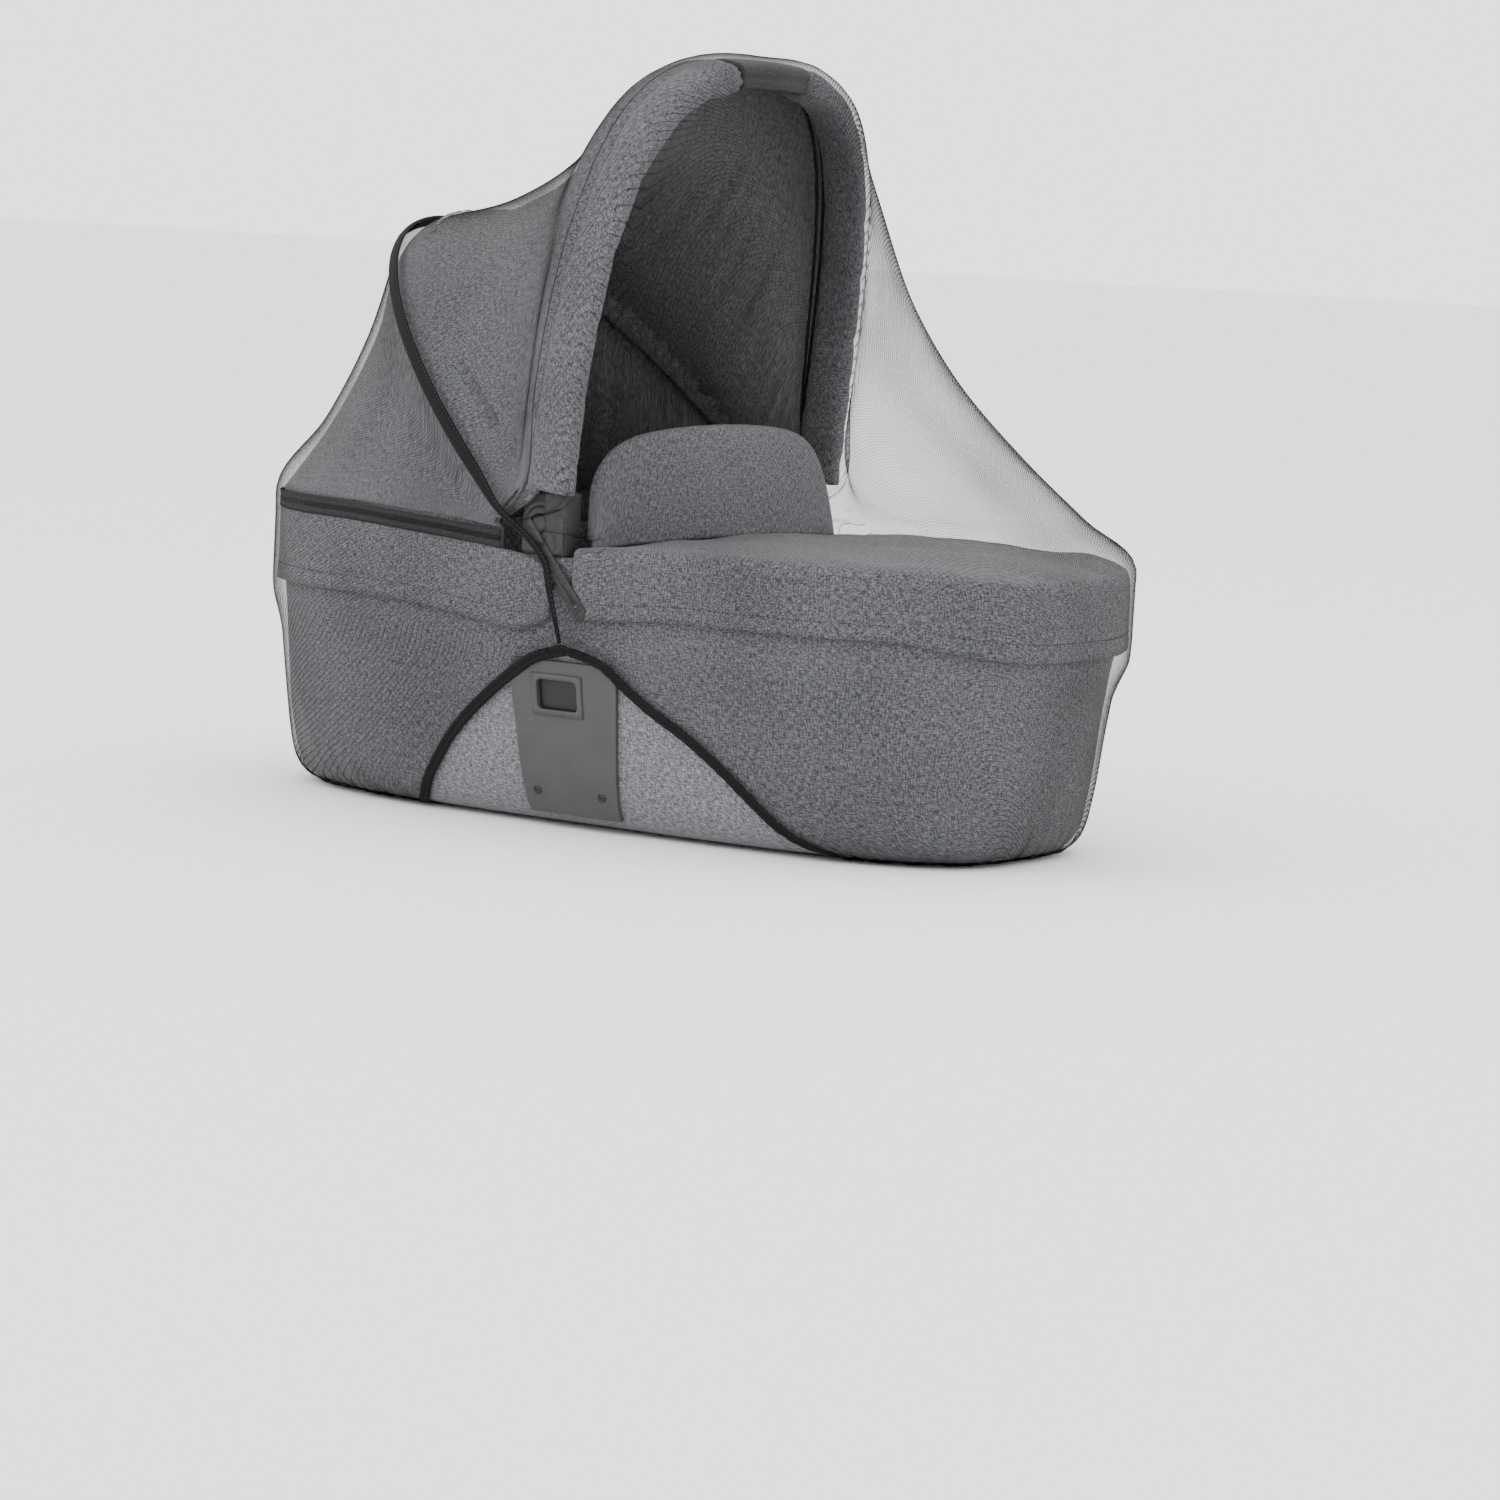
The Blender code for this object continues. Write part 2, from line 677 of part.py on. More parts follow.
def arch_points(bow, grow, along, first, last, count):
    """Evenly spaced points and tangents on a bow between two angles, in degrees."""
    fine = [bow_point(bow, angle, grow, grow, along) for angle in np.linspace(first, last, 900)]
    fine = np.array(fine)
    steps = np.linalg.norm(np.diff(fine, axis=0), axis=1)
    path = np.concatenate(((0.0,), np.cumsum(steps)))
    places = np.linspace(0.0, path[-1], count)
    slopes = np.gradient(fine, axis=0)
    slopes /= np.linalg.norm(slopes, axis=1)[:, None]
    centres = np.stack([np.interp(places, path, fine[:, col]) for col in range(3)], 1)
    tangents = np.stack([np.interp(places, path, slopes[:, col]) for col in range(3)], 1)
    tangents /= np.linalg.norm(tangents, axis=1)[:, None]
    return centres, tangents


def bow_normal(bow):
    tilt = math.radians(bow["tilt"])
    return np.array((math.cos(tilt), 0.0, math.sin(tilt)))


def angle_at_width(bow, y):
    """The arch angle, in degrees, where the near half reaches the distance y from the middle."""
    return math.degrees(math.acos((y / bow["half_width"]) ** (bow["power"] / 2)))


def build_front_bow(group, fabric, plastic):
    normal = bow_normal(FRONT_BOW)
    bottom = 0.5
    grip_edge = angle_at_width(FRONT_BOW, GRIP_HALF_LENGTH)
    grip_start = angle_at_width(FRONT_BOW, GRIP_HALF_LENGTH - 2 * SEAT_GAP)
    sizes = (ROLL_HALF_WIDTH, ROLL_HALF_DEPTH, 12)
    for name, first, last in (
        ("front_bow_roll_near", bottom, grip_edge),
        ("front_bow_roll_far", 180.0 - grip_edge, 180.0 - bottom),
    ):
        path = arch_points(FRONT_BOW, 0.0, 0.0, first, last, 16)
        sweep(name, path, normal, *sizes, group, fabric, ROLL_FLARE)
    path = arch_points(FRONT_BOW, 0.0, 0.0, grip_start, 180.0 - grip_start, 5)
    sweep("bow_grip", path, normal, GRIP_HALF_WIDTH, GRIP_HALF_DEPTH, 12, group, plastic)


def build_rear_sleeve(group, fabric):
    """The round casing of the rear bow, under the ridge of the hood."""
    normal = bow_normal(REAR_BOW)
    path = arch_points(REAR_BOW, -11.3, 0.0, 3.0, 177.0, 25)
    sweep("rear_bow_sleeve", path, normal, SLEEVE_RADIUS, SLEEVE_RADIUS, 8, group, fabric)


def apron_crown(x, y):
    """Height of the foot cover's soft top."""
    across = max(0.0, 1 - (y / 175.0) ** 2)
    along = max(0.0, 1 - max(0.0, (x - 120.0) / 270.0) ** 2)
    places = (20.0, 60.0, 150.0, 320.0, 400.0)
    length = float(np.interp(x, places, (245.5, 247.0, 252.0, 251.0, 242.0)))
    return length + 5.0 * across * along


def from_foot_middle(point):
    return point - np.array((200.0, 0.0, 150.0))


def build_apron(group, fabric):
    """The foot cover: a soft top and a skirt, open at its straight front edge."""
    rows = []
    inset = CLOTH_INSET
    skirt = ((0.0, 0.0), (0.35, 0.0), (0.72, 0.0), (1.0, 2.0))
    start_x = APRON_START_X
    for share, extra in skirt:
        row = []
        for x, y, _ in ring_row(1, start_x, 250.0, 250.0, inset + extra, inset + extra):
            low = 190.0 - 15.0 * max(0.0, (x - 330.0) / 70.0)
            low -= float(np.interp(x, (20.0, 110.0), (7.0, 0.0)))
            high = 247.0 - float(np.interp(x, (20.0, 130.0), (5.0, 0.0)))
            high -= 6.0 * max(0.0, (x - 330.0) / 70.0)
            row.append(np.array((x, y, low + (high - low) * share)))
        rows.append(row)
    for shrink in (14.0, 40.0, 85.0, 140.0):
        row = []
        for x, y, _ in ring_row(1, start_x, 250.0, 250.0, inset + shrink, inset + shrink):
            row.append(np.array((x, y, apron_crown(x, y))))
        rows.append(row)
    spine = []
    for point in rows[-1]:
        x = min(point[0], HALF_LENGTH - inset - 210.0)
        spine.append(np.array((x, 0.0, apron_crown(x, 0.0))))
    rows.append(spine)
    apron = loft("foot_apron", rows, group, fabric, from_foot_middle)
    return thicken(apron, APRON_THICKNESS, -1)


def towards_foot(point):
    return np.array((1.0, 0.0, 0.0))


def build_flap(group, fabric):
    """The wind flap that stands up across the front edge of the foot cover."""
    rows = []
    top_line = ((-1.0, 0.72), (-0.8, 0.92), (-0.5, 1.0), (0.5, 1.0), (0.8, 0.92), (1.0, 0.72))
    places = np.linspace(-1.0, 1.0, 15)
    for share in (0.0, 0.3, 0.65, 1.0):
        row = []
        for place in places:
            y = FLAP_HALF_WIDTH * place * (1.0 - 0.05 * share)
            height = FLAP_HEIGHT * float(np.interp(place, *zip(*top_line)))
            x = 30.0 + 14.0 * (1 - place**2) - 12.0 * share**2
            z = apron_crown(x, y) + 1.2 + height * share
            row.append(np.array((x, y, z)))
        rows.append(row)
    flap = loft("wind_flap", rows, group, fabric, towards_foot)
    return thicken(flap, FLAP_THICKNESS, -1)


def add_box(name, x, y, z, side, group, material, bevel):
    """A block between pairs of x, y and z values in millimetres; side -1 is the near one."""
    low = (x[0], min(side * y[0], side * y[1]), z[0])
    high = (x[1], max(side * y[0], side * y[1]), z[1])
    bpy.ops.mesh.primitive_cube_add(size=1.0)
    block = bpy.context.object
    block.name = name
    low = np.asarray(low, float) * 0.001
    high = np.asarray(high, float) * 0.001
    block.scale = tuple(high - low)
    block.location = tuple((low + high) / 2)
    bpy.ops.object.transform_apply(location=False, rotation=False, scale=True)
    move_to(block, group)
    block.data.materials.append(material)
    if bevel:
        round_off = block.modifiers.new("Edges", "BEVEL")
        round_off.width = bevel * 0.001
        round_off.segments = 2
        round_off.limit_method = "ANGLE"
    return block


def move_to(item, group):
    for owner in list(item.users_collection):
        owner.objects.unlink(item)
    group.objects.link(item)


def join_solid(target, tool, operation, cutters):
    """Add or cut with a second solid, kept as a hidden guide."""
    move_to(tool, cutters)
    tool.hide_render = True
    tool.display_type = "WIRE"
    change = target.modifiers.new(tool.name, "BOOLEAN")
    change.operation = operation
    change.object = tool
    change.solver = "EXACT"


def add_disc(name, centre, radius, depth, group, material, turn=(90, 0, 0), sides=24):
    bpy.ops.mesh.primitive_cylinder_add(
        vertices=sides,
        radius=radius * 0.001,
        depth=depth * 0.001,
        location=tuple(np.asarray(centre, float) * 0.001),
        rotation=tuple(math.radians(value) for value in turn),
    )
    disc = bpy.context.object
    disc.name = name
    move_to(disc, group)
    disc.data.materials.append(material)
    return disc


def on_side(point, side):
    return point[0], side * point[1], point[2]


def build_pivots(group, cutters, plastic):
    """The hinge housings that sit on the rim and lap over the outside of the wall."""
    for label, side in (("near", -1.0), ("far", 1.0)):
        body = add_box(f"pivot_{label}", PIVOT_X, PIVOT_Y, PIVOT_Z, side, group, plastic, 2.0)
        lip = add_box(
            f"pivot_lip_{label}", PIVOT_X, PIVOT_LIP_Y, PIVOT_LIP_Z, side, cutters, plastic, 0.0
        )
        centre = on_side(BUTTON_CENTRE, side)
        button = add_disc(
            f"pivot_button_{label}", centre, BUTTON_RADIUS, BUTTON_DEPTH, cutters, plastic
        )
        join_solid(body, lip, "UNION", cutters)
        join_solid(body, button, "UNION", cutters)


def build_straps(group, cutters, rubber):
    """The flat fixing straps that slant down from the pivots, each with a small hole."""
    run, fall = STRAP_FALL
    half = (STRAP_HALF_LENGTH, STRAP_HALF_WIDTH)
    for label, side in (("near", -1.0), ("far", 1.0)):
        strap = add_box(
            f"fixing_strap_{label}",
            (-half[0], half[0]),
            STRAP_Y,
            (-half[1], half[1]),
            side,
            group,
            rubber,
            0.0,
        )
        strap.rotation_euler = (0.0, math.atan2(fall, run), 0.0)
        strap.location = [value * 0.001 for value in on_side(STRAP_CENTRE, side)]
        centre = on_side(STRAP_HOLE, side)
        hole = add_disc(
            f"strap_hole_{label}", centre, STRAP_HOLE_RADIUS, 8.0, cutters, rubber, sides=16
        )
        join_solid(strap, hole, "DIFFERENCE", cutters)


def build_adapters(group, cutters, plastic):
    """The adapter plates on the sides, inside the net's arches."""
    tub = np.array(TUB_PROFILE)
    for label, side in (("near", -1.0), ("far", 1.0)):
        rows = []
        for z in ADAPTER_HEIGHTS:
            inset = float(np.interp(-z, -tub[:, 0], tub[:, 1])) - SEAT_GAP
            half_width = ADAPTER_HALF_WIDTH - max(0.0, 130.0 - z) * 0.07
            trim = 6.0 if z > 140.0 else 0.0
            row = []
            for share in (-1.0, -0.5, 0.0, 0.5, 1.0):
                x = ADAPTER_X + (half_width - trim) * share
                y = side * (HALF_WIDTH - inset)
                row.append(np.array((x, y, z)))
            rows.append(row)
        plate = loft(f"adapter_plate_{label}", rows, group, plastic, from_centre)
        thicken(plate, ADAPTER_THICKNESS, 1)
        across = (HALF_WIDTH - 35.0, HALF_WIDTH + 5.0)
        slot = add_box(
            f"adapter_slot_{label}", SLOT_X, across, SLOT_Z, side, cutters, plastic, 0.0
        )
        join_solid(plate, slot, "DIFFERENCE", cutters)


def main():
    clear_scene()
    group = make_collection("Stroller mosquito net")
    cutters = make_collection("Cutters")
    cutters.hide_render = True
    black_net = make_material("net black", (0.02, 0.02, 0.022), 0.8, 0.35)
    black_tape = make_material("binding black", (0.012, 0.012, 0.014), 0.85)
    fabric = make_material("melange grey fabric", (0.17, 0.175, 0.185), 0.9)
    lining = make_material("sleeve grey fabric", (0.07, 0.072, 0.078), 0.9)
    tape = make_material("zip tape", (0.06, 0.055, 0.06), 0.7)
    plastic = make_material("grey plastic", (0.07, 0.07, 0.072), 0.5)
    build_net(group, black_net)
    build_edge_binding("head_binding", -1, group, black_tape)
    build_edge_binding("foot_binding", 1, group, black_tape)
    build_ridge_binding(group, black_tape)
    build_tub(group, fabric)
    build_band(group, fabric)
    build_zip(group, tape)
    build_canopy(group, fabric)
    build_front_bow(group, fabric, plastic)
    build_rear_sleeve(group, lining)
    build_apron(group, fabric)
    build_flap(group, fabric)
    build_pivots(group, cutters, plastic)
    build_straps(group, cutters, plastic)
    build_adapters(group, cutters, plastic)


main()
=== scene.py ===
import math

import bmesh
import bpy
import numpy as np
from mathutils import Matrix, Vector


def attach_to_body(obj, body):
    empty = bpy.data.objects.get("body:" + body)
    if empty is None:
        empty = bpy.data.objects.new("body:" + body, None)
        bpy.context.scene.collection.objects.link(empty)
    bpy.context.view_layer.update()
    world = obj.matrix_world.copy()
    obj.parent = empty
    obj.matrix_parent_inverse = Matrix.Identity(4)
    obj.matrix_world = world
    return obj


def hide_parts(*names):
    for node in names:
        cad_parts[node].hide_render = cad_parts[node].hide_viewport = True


bl_info = {
    "name": "Mosquito net on a hooded carrycot",
    "version": (1, 0, 0),
    "blender": (4, 5, 0),
    "location": "View3D > Sidebar > Carrycot net",
    "description": "Dresses the carrycot's solids in net, cloth, tape and moulded plastic",
    "category": "Object",
}

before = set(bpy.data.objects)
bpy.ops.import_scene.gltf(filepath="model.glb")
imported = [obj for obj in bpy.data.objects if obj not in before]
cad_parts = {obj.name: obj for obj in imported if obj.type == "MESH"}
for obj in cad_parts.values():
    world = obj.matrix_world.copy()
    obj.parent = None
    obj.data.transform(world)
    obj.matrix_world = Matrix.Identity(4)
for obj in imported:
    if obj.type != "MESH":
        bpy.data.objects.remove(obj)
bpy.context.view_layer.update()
BODY = "root"

# Main sizes, in millimetres
HALF_LENGTH = 405.0
HALF_WIDTH = 207.0
HEAD_POWER = 3.0
FOOT_POWER = 3.2
NET_THICKNESS = 2.0
BINDING_WIDTH = 9.0
BINDING_THICKNESS = 2.0
JOIN_GAP = 0.4
SEAT_GAP = 0.4
SEAM_HALF_GAP = 1.2

# Front bow, rear bow and their pivots
FRONT_BOW = dict(
    x=-7.0, z=273.0, tilt=-8.3, height=380.0, half_width=203.0, power=3.15, bend=7.0, start=0.31
)
REAR_BOW = dict(
    x=-51.0, z=270.0, tilt=45.6, height=339.0, half_width=203.0, power=1.97, bend=0.0, start=0.5
)
ROLL_HALF_WIDTH = 20.0
ROLL_HALF_DEPTH = 11.0
GRIP_HALF_LENGTH = 50.0
GRIP_HALF_WIDTH = 18.5
GRIP_HALF_DEPTH = 10.5
ROLL_FLARE = 0.1
SLEEVE_RADIUS = 5.0
HOOD_SAG = 30.0
BACK_SAG = 15.0
SPAN_SAG = 48.0

# Columns from the near side's middle (1) to the end's middle (0), denser at the
# corners, and the matching angles along a bow, in degrees
COLUMNS = (1.0, 0.966, 0.925, 0.845, 0.755, 0.665, 0.575, 0.485, 0.4, 0.29, 0.145, 0.0)
BOW_ANGLES = (0.0, 6.5, 14.0, 22.0, 30.0, 38.0, 46.0, 54.0, 64.0, 77.0, 90.0)

# The net's inner face, from the rim down to the base and in to the hem
# columns: z at side, head, foot, then inset at side, head, foot
NET_PROFILE = (
    (257.0, 267.0, 245.0, 2.0, 2.0, 2.0),
    (236.0, 244.0, 230.0, 2.0, 2.0, 2.0),
    (212.0, 214.0, 208.0, 2.0, 2.0, 2.0),
    (165.0, 178.0, 169.0, 2.5, 2.0, 2.0),
    (152.0, 160.0, 155.0, 7.0, 6.5, 8.0),
    (138.0, 140.0, 138.0, 12.5, 10.5, 14.5),
    (110.0, 110.0, 110.0, 18.0, 12.5, 19.0),
    (75.0, 75.0, 75.0, 24.5, 14.5, 22.0),
    (50.0, 50.0, 50.0, 30.0, 16.0, 24.5),
    (28.0, 28.0, 28.0, 36.0, 19.0, 28.0),
    (14.0, 14.0, 14.0, 43.0, 25.0, 33.0),
    (6.0, 6.0, 6.0, 52.0, 34.0, 41.0),
    (2.0, 2.0, 2.0, 66.0, 50.0, 52.0),
    (2.0, 2.0, 2.0, 121.0, 105.0, 107.0),
)

# The tub's outer face: z, then inset at side, head, foot
TUB_PROFILE = (
    (235.0, 10.5, 12.2, 12.5),
    (182.0, 10.8, 12.4, 12.8),
    (165.0, 14.0, 13.2, 16.0),
    (125.0, 20.0, 15.0, 21.0),
    (50.0, 33.5, 18.8, 27.5),
    (26.0, 40.5, 22.5, 31.5),
    (12.0, 49.0, 30.0, 38.0),
    (5.0, 60.0, 41.0, 48.0),
    (2.4, 74.0, 58.0, 60.0),
)
TUB_WALL = 7.0

# Seam between the panels below the rear bow, and the two arms of the side arch
# columns: x, z
SEAM = ((-46, 268), (-34, 257), (-14, 240), (-5, 229), (0, 208), (8, 183), (13.5, 162.2))
HEAD_ARM = ((17, 153), (-15, 145), (-60, 116), (-107, 76), (-139, 37), (-158, 10))
FOOT_ARM = ((17, 153), (45, 146), (80, 119), (140, 83), (182, 48), (214, 20), (236, 8))
HEAD_ARM_BASE = ((-168, 66), (-172, 121))
FOOT_ARM_BASE = ((252, 66), (262, 121))
ROWS_ABOVE = (257, 236, 205, 178)
ROWS_BELOW = (150, 138, 120, 98, 75, 50, 28, 13, 6)

BAND_END_X = -3.0
ZIP_END_X = -58.0
ZIP_HEIGHT = 15.0
APRON_START_X = 20.0

# Cloth of the hood, the band and the foot cover
CLOTH_INSET = 5.0
ZIP_INSET = 5.4
CANOPY_THICKNESS = 3.0
BAND_THICKNESS = 3.5
APRON_THICKNESS = 3.5
ZIP_THICKNESS = 2.6
RIDGE_HALF_WIDTH = 4.8
RIDGE_THICKNESS = 1.5
FLAP_HALF_WIDTH = 174.0
FLAP_HEIGHT = 97.0
FLAP_THICKNESS = 7.0

# Pivot housings, straps and adapter plates on the near side, mirrored to the far one
PIVOT_X = (-37.0, 8.0)
PIVOT_Y = (176.0, 199.4)
PIVOT_Z = (235.5, 289.4)
PIVOT_LIP_Y = (197.2, 200.6)
PIVOT_LIP_Z = (238.0, 270.0)
BUTTON_CENTRE = (-17.0, 199.6, 262.0)
BUTTON_RADIUS = 16.5
BUTTON_DEPTH = 3.6
STRAP_HALF_LENGTH = 50.0
STRAP_HALF_WIDTH = 7.0
STRAP_Y = (202.3, 203.9)
STRAP_CENTRE = (2.8, 203.1, 223.9)
STRAP_FALL = (76.0, 95.0)
STRAP_HOLE = (25.0, 203.1, 196.0)
STRAP_HOLE_RADIUS = 1.9
ADAPTER_X = 7.0
ADAPTER_HALF_WIDTH = 56.0
ADAPTER_THICKNESS = 4.0
ADAPTER_HEIGHTS = (147.0, 138.0, 125.0, 85.0, 50.0, 26.0, 14.0)
SLOT_X = (-20.0, 22.0)
SLOT_Z = (104.0, 130.0)

BODY_MIDDLE = (-30.0, 0.0, 200.0)
FOOT_MIDDLE = (200.0, 0.0, 150.0)

# Section of the elastic tape: way across it, height over the net
TAPE_SECTION = (
    (0.0, 0.1), (0.03, 0.9), (0.14, 1.8), (0.27, 2.2), (0.41, 1.8), (0.55, 1.1),
    (0.69, 1.8), (0.82, 2.2), (0.95, 1.8), (1.06, 1.3), (1.1, 1.05),
)

# Section of the zip: way down it, height
ZIP_SECTION = (
    (0.0, 0.0), (0.06, 0.5), (0.22, 0.6), (0.34, 0.1), (0.4, 0.3), (0.5, 0.9),
    (0.6, 0.3), (0.66, 0.1), (0.78, 0.6), (0.94, 0.5), (1.0, 0.0),
)
WEAVE_PITCH = 0.0013

# Section of the pivot's round cap: radius, height
BUTTON_SECTIONS = (
    ((0.0, 3.7), (6.6, 3.6), (7.3, 3.0), (7.3, 0.0)),
    ((8.9, 0.0), (8.9, 3.0), (9.5, 3.6), (12.8, 3.4), (13.8, 2.6), (13.8, 0.0)),
    ((15.6, 0.0), (15.6, 1.2), (16.2, 1.7), (18.6, 1.7), (19.4, 1.0), (19.4, 0.0)),
)
# Section of the dark disc under the cap's rings, radius and height; its floor in the grooves is painted shade
GROOVE_SECTION = ((0.0, 0.7), (19.0, 0.7), (19.0, -0.3))

# Section of the upright arm beside the cap: radius, height; and its place
ARM_SECTION = ((0.0, 0.0), (13.2, 0.0), (14.4, 1.2), (14.4, 51.0), (13.4, 52.4), (0.0, 52.4))
ARM_PLACE = (-6.5, 188.2)

# Screws of the adapter plates: section (radius, height) and places (x, z)
SCREW_SECTION = ((0.0, 0.7), (1.6, 0.7), (1.9, 1.5), (4.0, 1.4), (4.6, 0.9), (4.6, -0.4))
SCREWS = ((-28.0, 33.0), (40.0, 33.0))

# How far the hood's cloth laps the front bow, and the lining drops behind the zip
FLOOR_CLEARANCE = 0.2
HOOD_LAP = 13.0
LINING_DROP = 32.0
FLAP_PAD_WIDTH = 185.0
GRIP_DEPTH = 12.5

# Where the arches meet on each side: x, z
APEX = (6.0, 163.0)

# The strap's outline along its own length: x, z
STRAP_OUTLINE = (
    (-50.0, -4.4), (-20.0, -4.8), (12.0, -6.0), (40.0, -7.0), (47.5, -7.0),
    (50.0, -4.0), (50.0, 2.5), (45.0, 7.0), (12.0, 6.0), (-20.0, 4.8), (-50.0, 4.4),
)

# Lights: name, place, size, power
LIGHTS = (
    ("key", (-2.2, -3.2, 3.4), 2.6, 60.0),
    ("fill", (3.4, -2.2, 2.0), 2.4, 24.0),
    ("top", (0.0, 0.6, 3.6), 3.0, 34.0),
)
CAMERA_PLACE = (
    (0.82465, -0.10597, 0.55563, 2.381),
    (0.56345, 0.06734, -0.8234, -3.421),
    (0.04984, 0.99209, 0.11524, 0.544),
    (0.0, 0.0, 0.0, 1.0),
)


def unit(vector):
    return vector / np.linalg.norm(vector)


def signed_power(value, power):
    return math.copysign(abs(value) ** power, value)


def plan_point(psi, half_length, half_width, power, end):
    """A point of the plan outline: psi 0 at the end's middle, 90 degrees at the side's."""
    x = end * half_length * signed_power(math.cos(psi), 2 / power)
    y = -half_width * signed_power(math.sin(psi), 2 / power)
    return x, y


def plan_angle(x, half_length, power, end):
    ratio = max(-0.999, min(0.999, end * x / half_length))
    return math.acos(signed_power(ratio, power / 2))


def end_power(end):
    return FOOT_POWER if end > 0 else HEAD_POWER


def ring_point(psi, end, z_side, z_end, in_side, in_end):
    """A point on the body's outline, its height sliding from the side's to the end's."""
    half_length = HALF_LENGTH - in_end
    x, y = plan_point(psi, half_length, HALF_WIDTH - in_side, end_power(end), end)
    blend = max(0.0, end * x) / half_length
    return np.array((x, y, z_side + (z_end - z_side) * blend))


def fractions():
    """Column fractions from the near boundary (1) through the end (0) to the far one (-1)."""
    near = list(COLUMNS)
    return near + [-value for value in reversed(near[:-1])]


def ring_row(end, start_x, z_side, z_end, in_side, in_end):
    """One row of a panel: from start_x on the near side, round the end, to the far side."""
    start = plan_angle(start_x, HALF_LENGTH - in_end, end_power(end), end)
    return [
        ring_point(start * share, end, z_side, z_end, in_side, in_end)
        for share in fractions()
    ]


def bow_point(bow, degrees, grow=0.0, grow_width=None, along=0.0):
    """A point of a bow's arch; grow moves it outwards, along moves it square to its plane."""
    wide = grow if grow_width is None else grow_width
    angle = math.radians(degrees)
    tilt = math.radians(bow["tilt"])
    share = signed_power(math.sin(angle), 2 / bow["power"])
    rise = (bow["height"] + grow) * share
    y = -(bow["half_width"] + wide) * signed_power(math.cos(angle), 2 / bow["power"])
    x = bow["x"] - rise * math.sin(tilt) + along * math.cos(tilt)
    x -= bow["bend"] * 4 * share * (1 - share)
    z = bow["z"] + rise * math.cos(tilt) + along * math.sin(tilt)
    return np.array((x, y, z))


def all_bow_angles(bow):
    near = [BOW_ANGLES[0], bow["start"]] + list(BOW_ANGLES[1:])
    return near + [180.0 - value for value in reversed(near[:-1])]


def bow_row(bow, grow, grow_width=None, along=0.0):
    return [bow_point(bow, angle, grow, grow_width, along) for angle in all_bow_angles(bow)]


def between(first, second, share, sag=0.0):
    """A row part of the way between two rows, sunk towards the cot's middle."""
    sink = sag * 4 * share * (1 - share)
    row = []
    for one, two in zip(first, second):
        point = one + (two - one) * share
        room = min(1.0, max(0.0, float(np.linalg.norm(two - one)) - 45.0) / 130.0)
        row.append(shrink([point], sink * room)[0])
    return row


def shrink(row, distance):
    """Move a row towards the cot's middle."""
    middle = np.array((-40.0, 0.0, 260.0))
    return [point + unit(middle - point) * distance for point in row]


def mirror_y(point):
    return point * np.array((1.0, -1.0, 1.0))


def pin_sides(rows, near_points):
    """Put the first column on the given points and the last on their mirror images."""
    for row, point in zip(rows, near_points):
        row[0] = np.asarray(point, float)
        row[-1] = mirror_y(row[0])


def line_points(first, last, count):
    first = np.asarray(first, float)
    last = np.asarray(last, float)
    return [first + (last - first) * step / (count - 1) for step in range(count)]


def smooth_curve(knots, steps=24):
    """Catmull-Rom points through the knots."""
    knots = np.asarray(knots, float)
    padded = np.vstack((2 * knots[0] - knots[1], knots, 2 * knots[-1] - knots[-2]))
    points = []
    for index in range(1, len(padded) - 2):
        p0, p1, p2, p3 = padded[index - 1 : index + 3]
        for t in np.arange(steps) / steps:
            bend = 2 * p0 - 5 * p1 + 4 * p2 - p3
            points.append(
                0.5 * (2 * p1 + (p2 - p0) * t + bend * t**2 + (3 * p1 - p0 - 3 * p2 + p3) * t**3)
            )
    points.append(knots[-1])
    return np.array(points)


def zip_top(x):
    return float(np.interp(x, (-230.0, -110.0, -55.0), (264.0, 257.5, 253.0)))


# The net's surface below the rim is described by x and by the path length down the side
NET_TABLE = np.array(NET_PROFILE)
NET_STEPS = np.hypot(np.diff(NET_TABLE[:, 0]), np.diff(NET_TABLE[:, 3]))
NET_PATH = np.concatenate(((0.0,), np.cumsum(NET_STEPS)))
HEM_PATH = float(NET_PATH[-1])
BASE_PATH = float(NET_PATH[-2])


def path_at_height(z):
    return float(np.interp(-z, -NET_TABLE[:-1, 0], NET_PATH[:-1]))


def path_at_inset(inset):
    return float(np.interp(inset, NET_TABLE[-2:, 3], NET_PATH[-2:]))


def net_values(path, end):
    """z at side and end, inset at side and end, of the net's inner face at a path length."""
    z_col, in_col = (2, 5) if end > 0 else (1, 4)
    columns = (0, z_col, 3, in_col)
    return [float(np.interp(path, NET_PATH, NET_TABLE[:, col])) for col in columns]


def net_point(end, x, path):
    z_side, z_end, in_side, in_end = net_values(path, end)
    psi = plan_angle(x, HALF_LENGTH - in_end, end_power(end), end)
    return ring_point(psi, end, z_side, z_end, in_side, in_end)


def net_row(end, x, path):
    z_side, z_end, in_side, in_end = net_values(path, end)
    return ring_row(end, x, z_side, z_end, in_side, in_end)


def arm_curves(end):
    """The arch's edge and the two lines inside it, as (x, path) points of equal count."""
    knots, base = (FOOT_ARM, FOOT_ARM_BASE) if end > 0 else (HEAD_ARM, HEAD_ARM_BASE)
    on_wall = [(x, path_at_height(z)) for x, z in knots]
    on_base = [(x, path_at_inset(inset)) for x, inset in base]
    edge = smooth_curve(on_wall + on_base)
    along = np.gradient(edge, axis=0)
    along /= np.linalg.norm(along, axis=1)[:, None]
    normal = np.stack((end * -along[:, 1], end * along[:, 0]), 1)
    normal *= -1.0 if normal[0][1] > 0 else 1.0
    inner = edge + normal * BINDING_WIDTH
    panel = edge + normal * (BINDING_WIDTH + JOIN_GAP)
    return edge, inner, panel


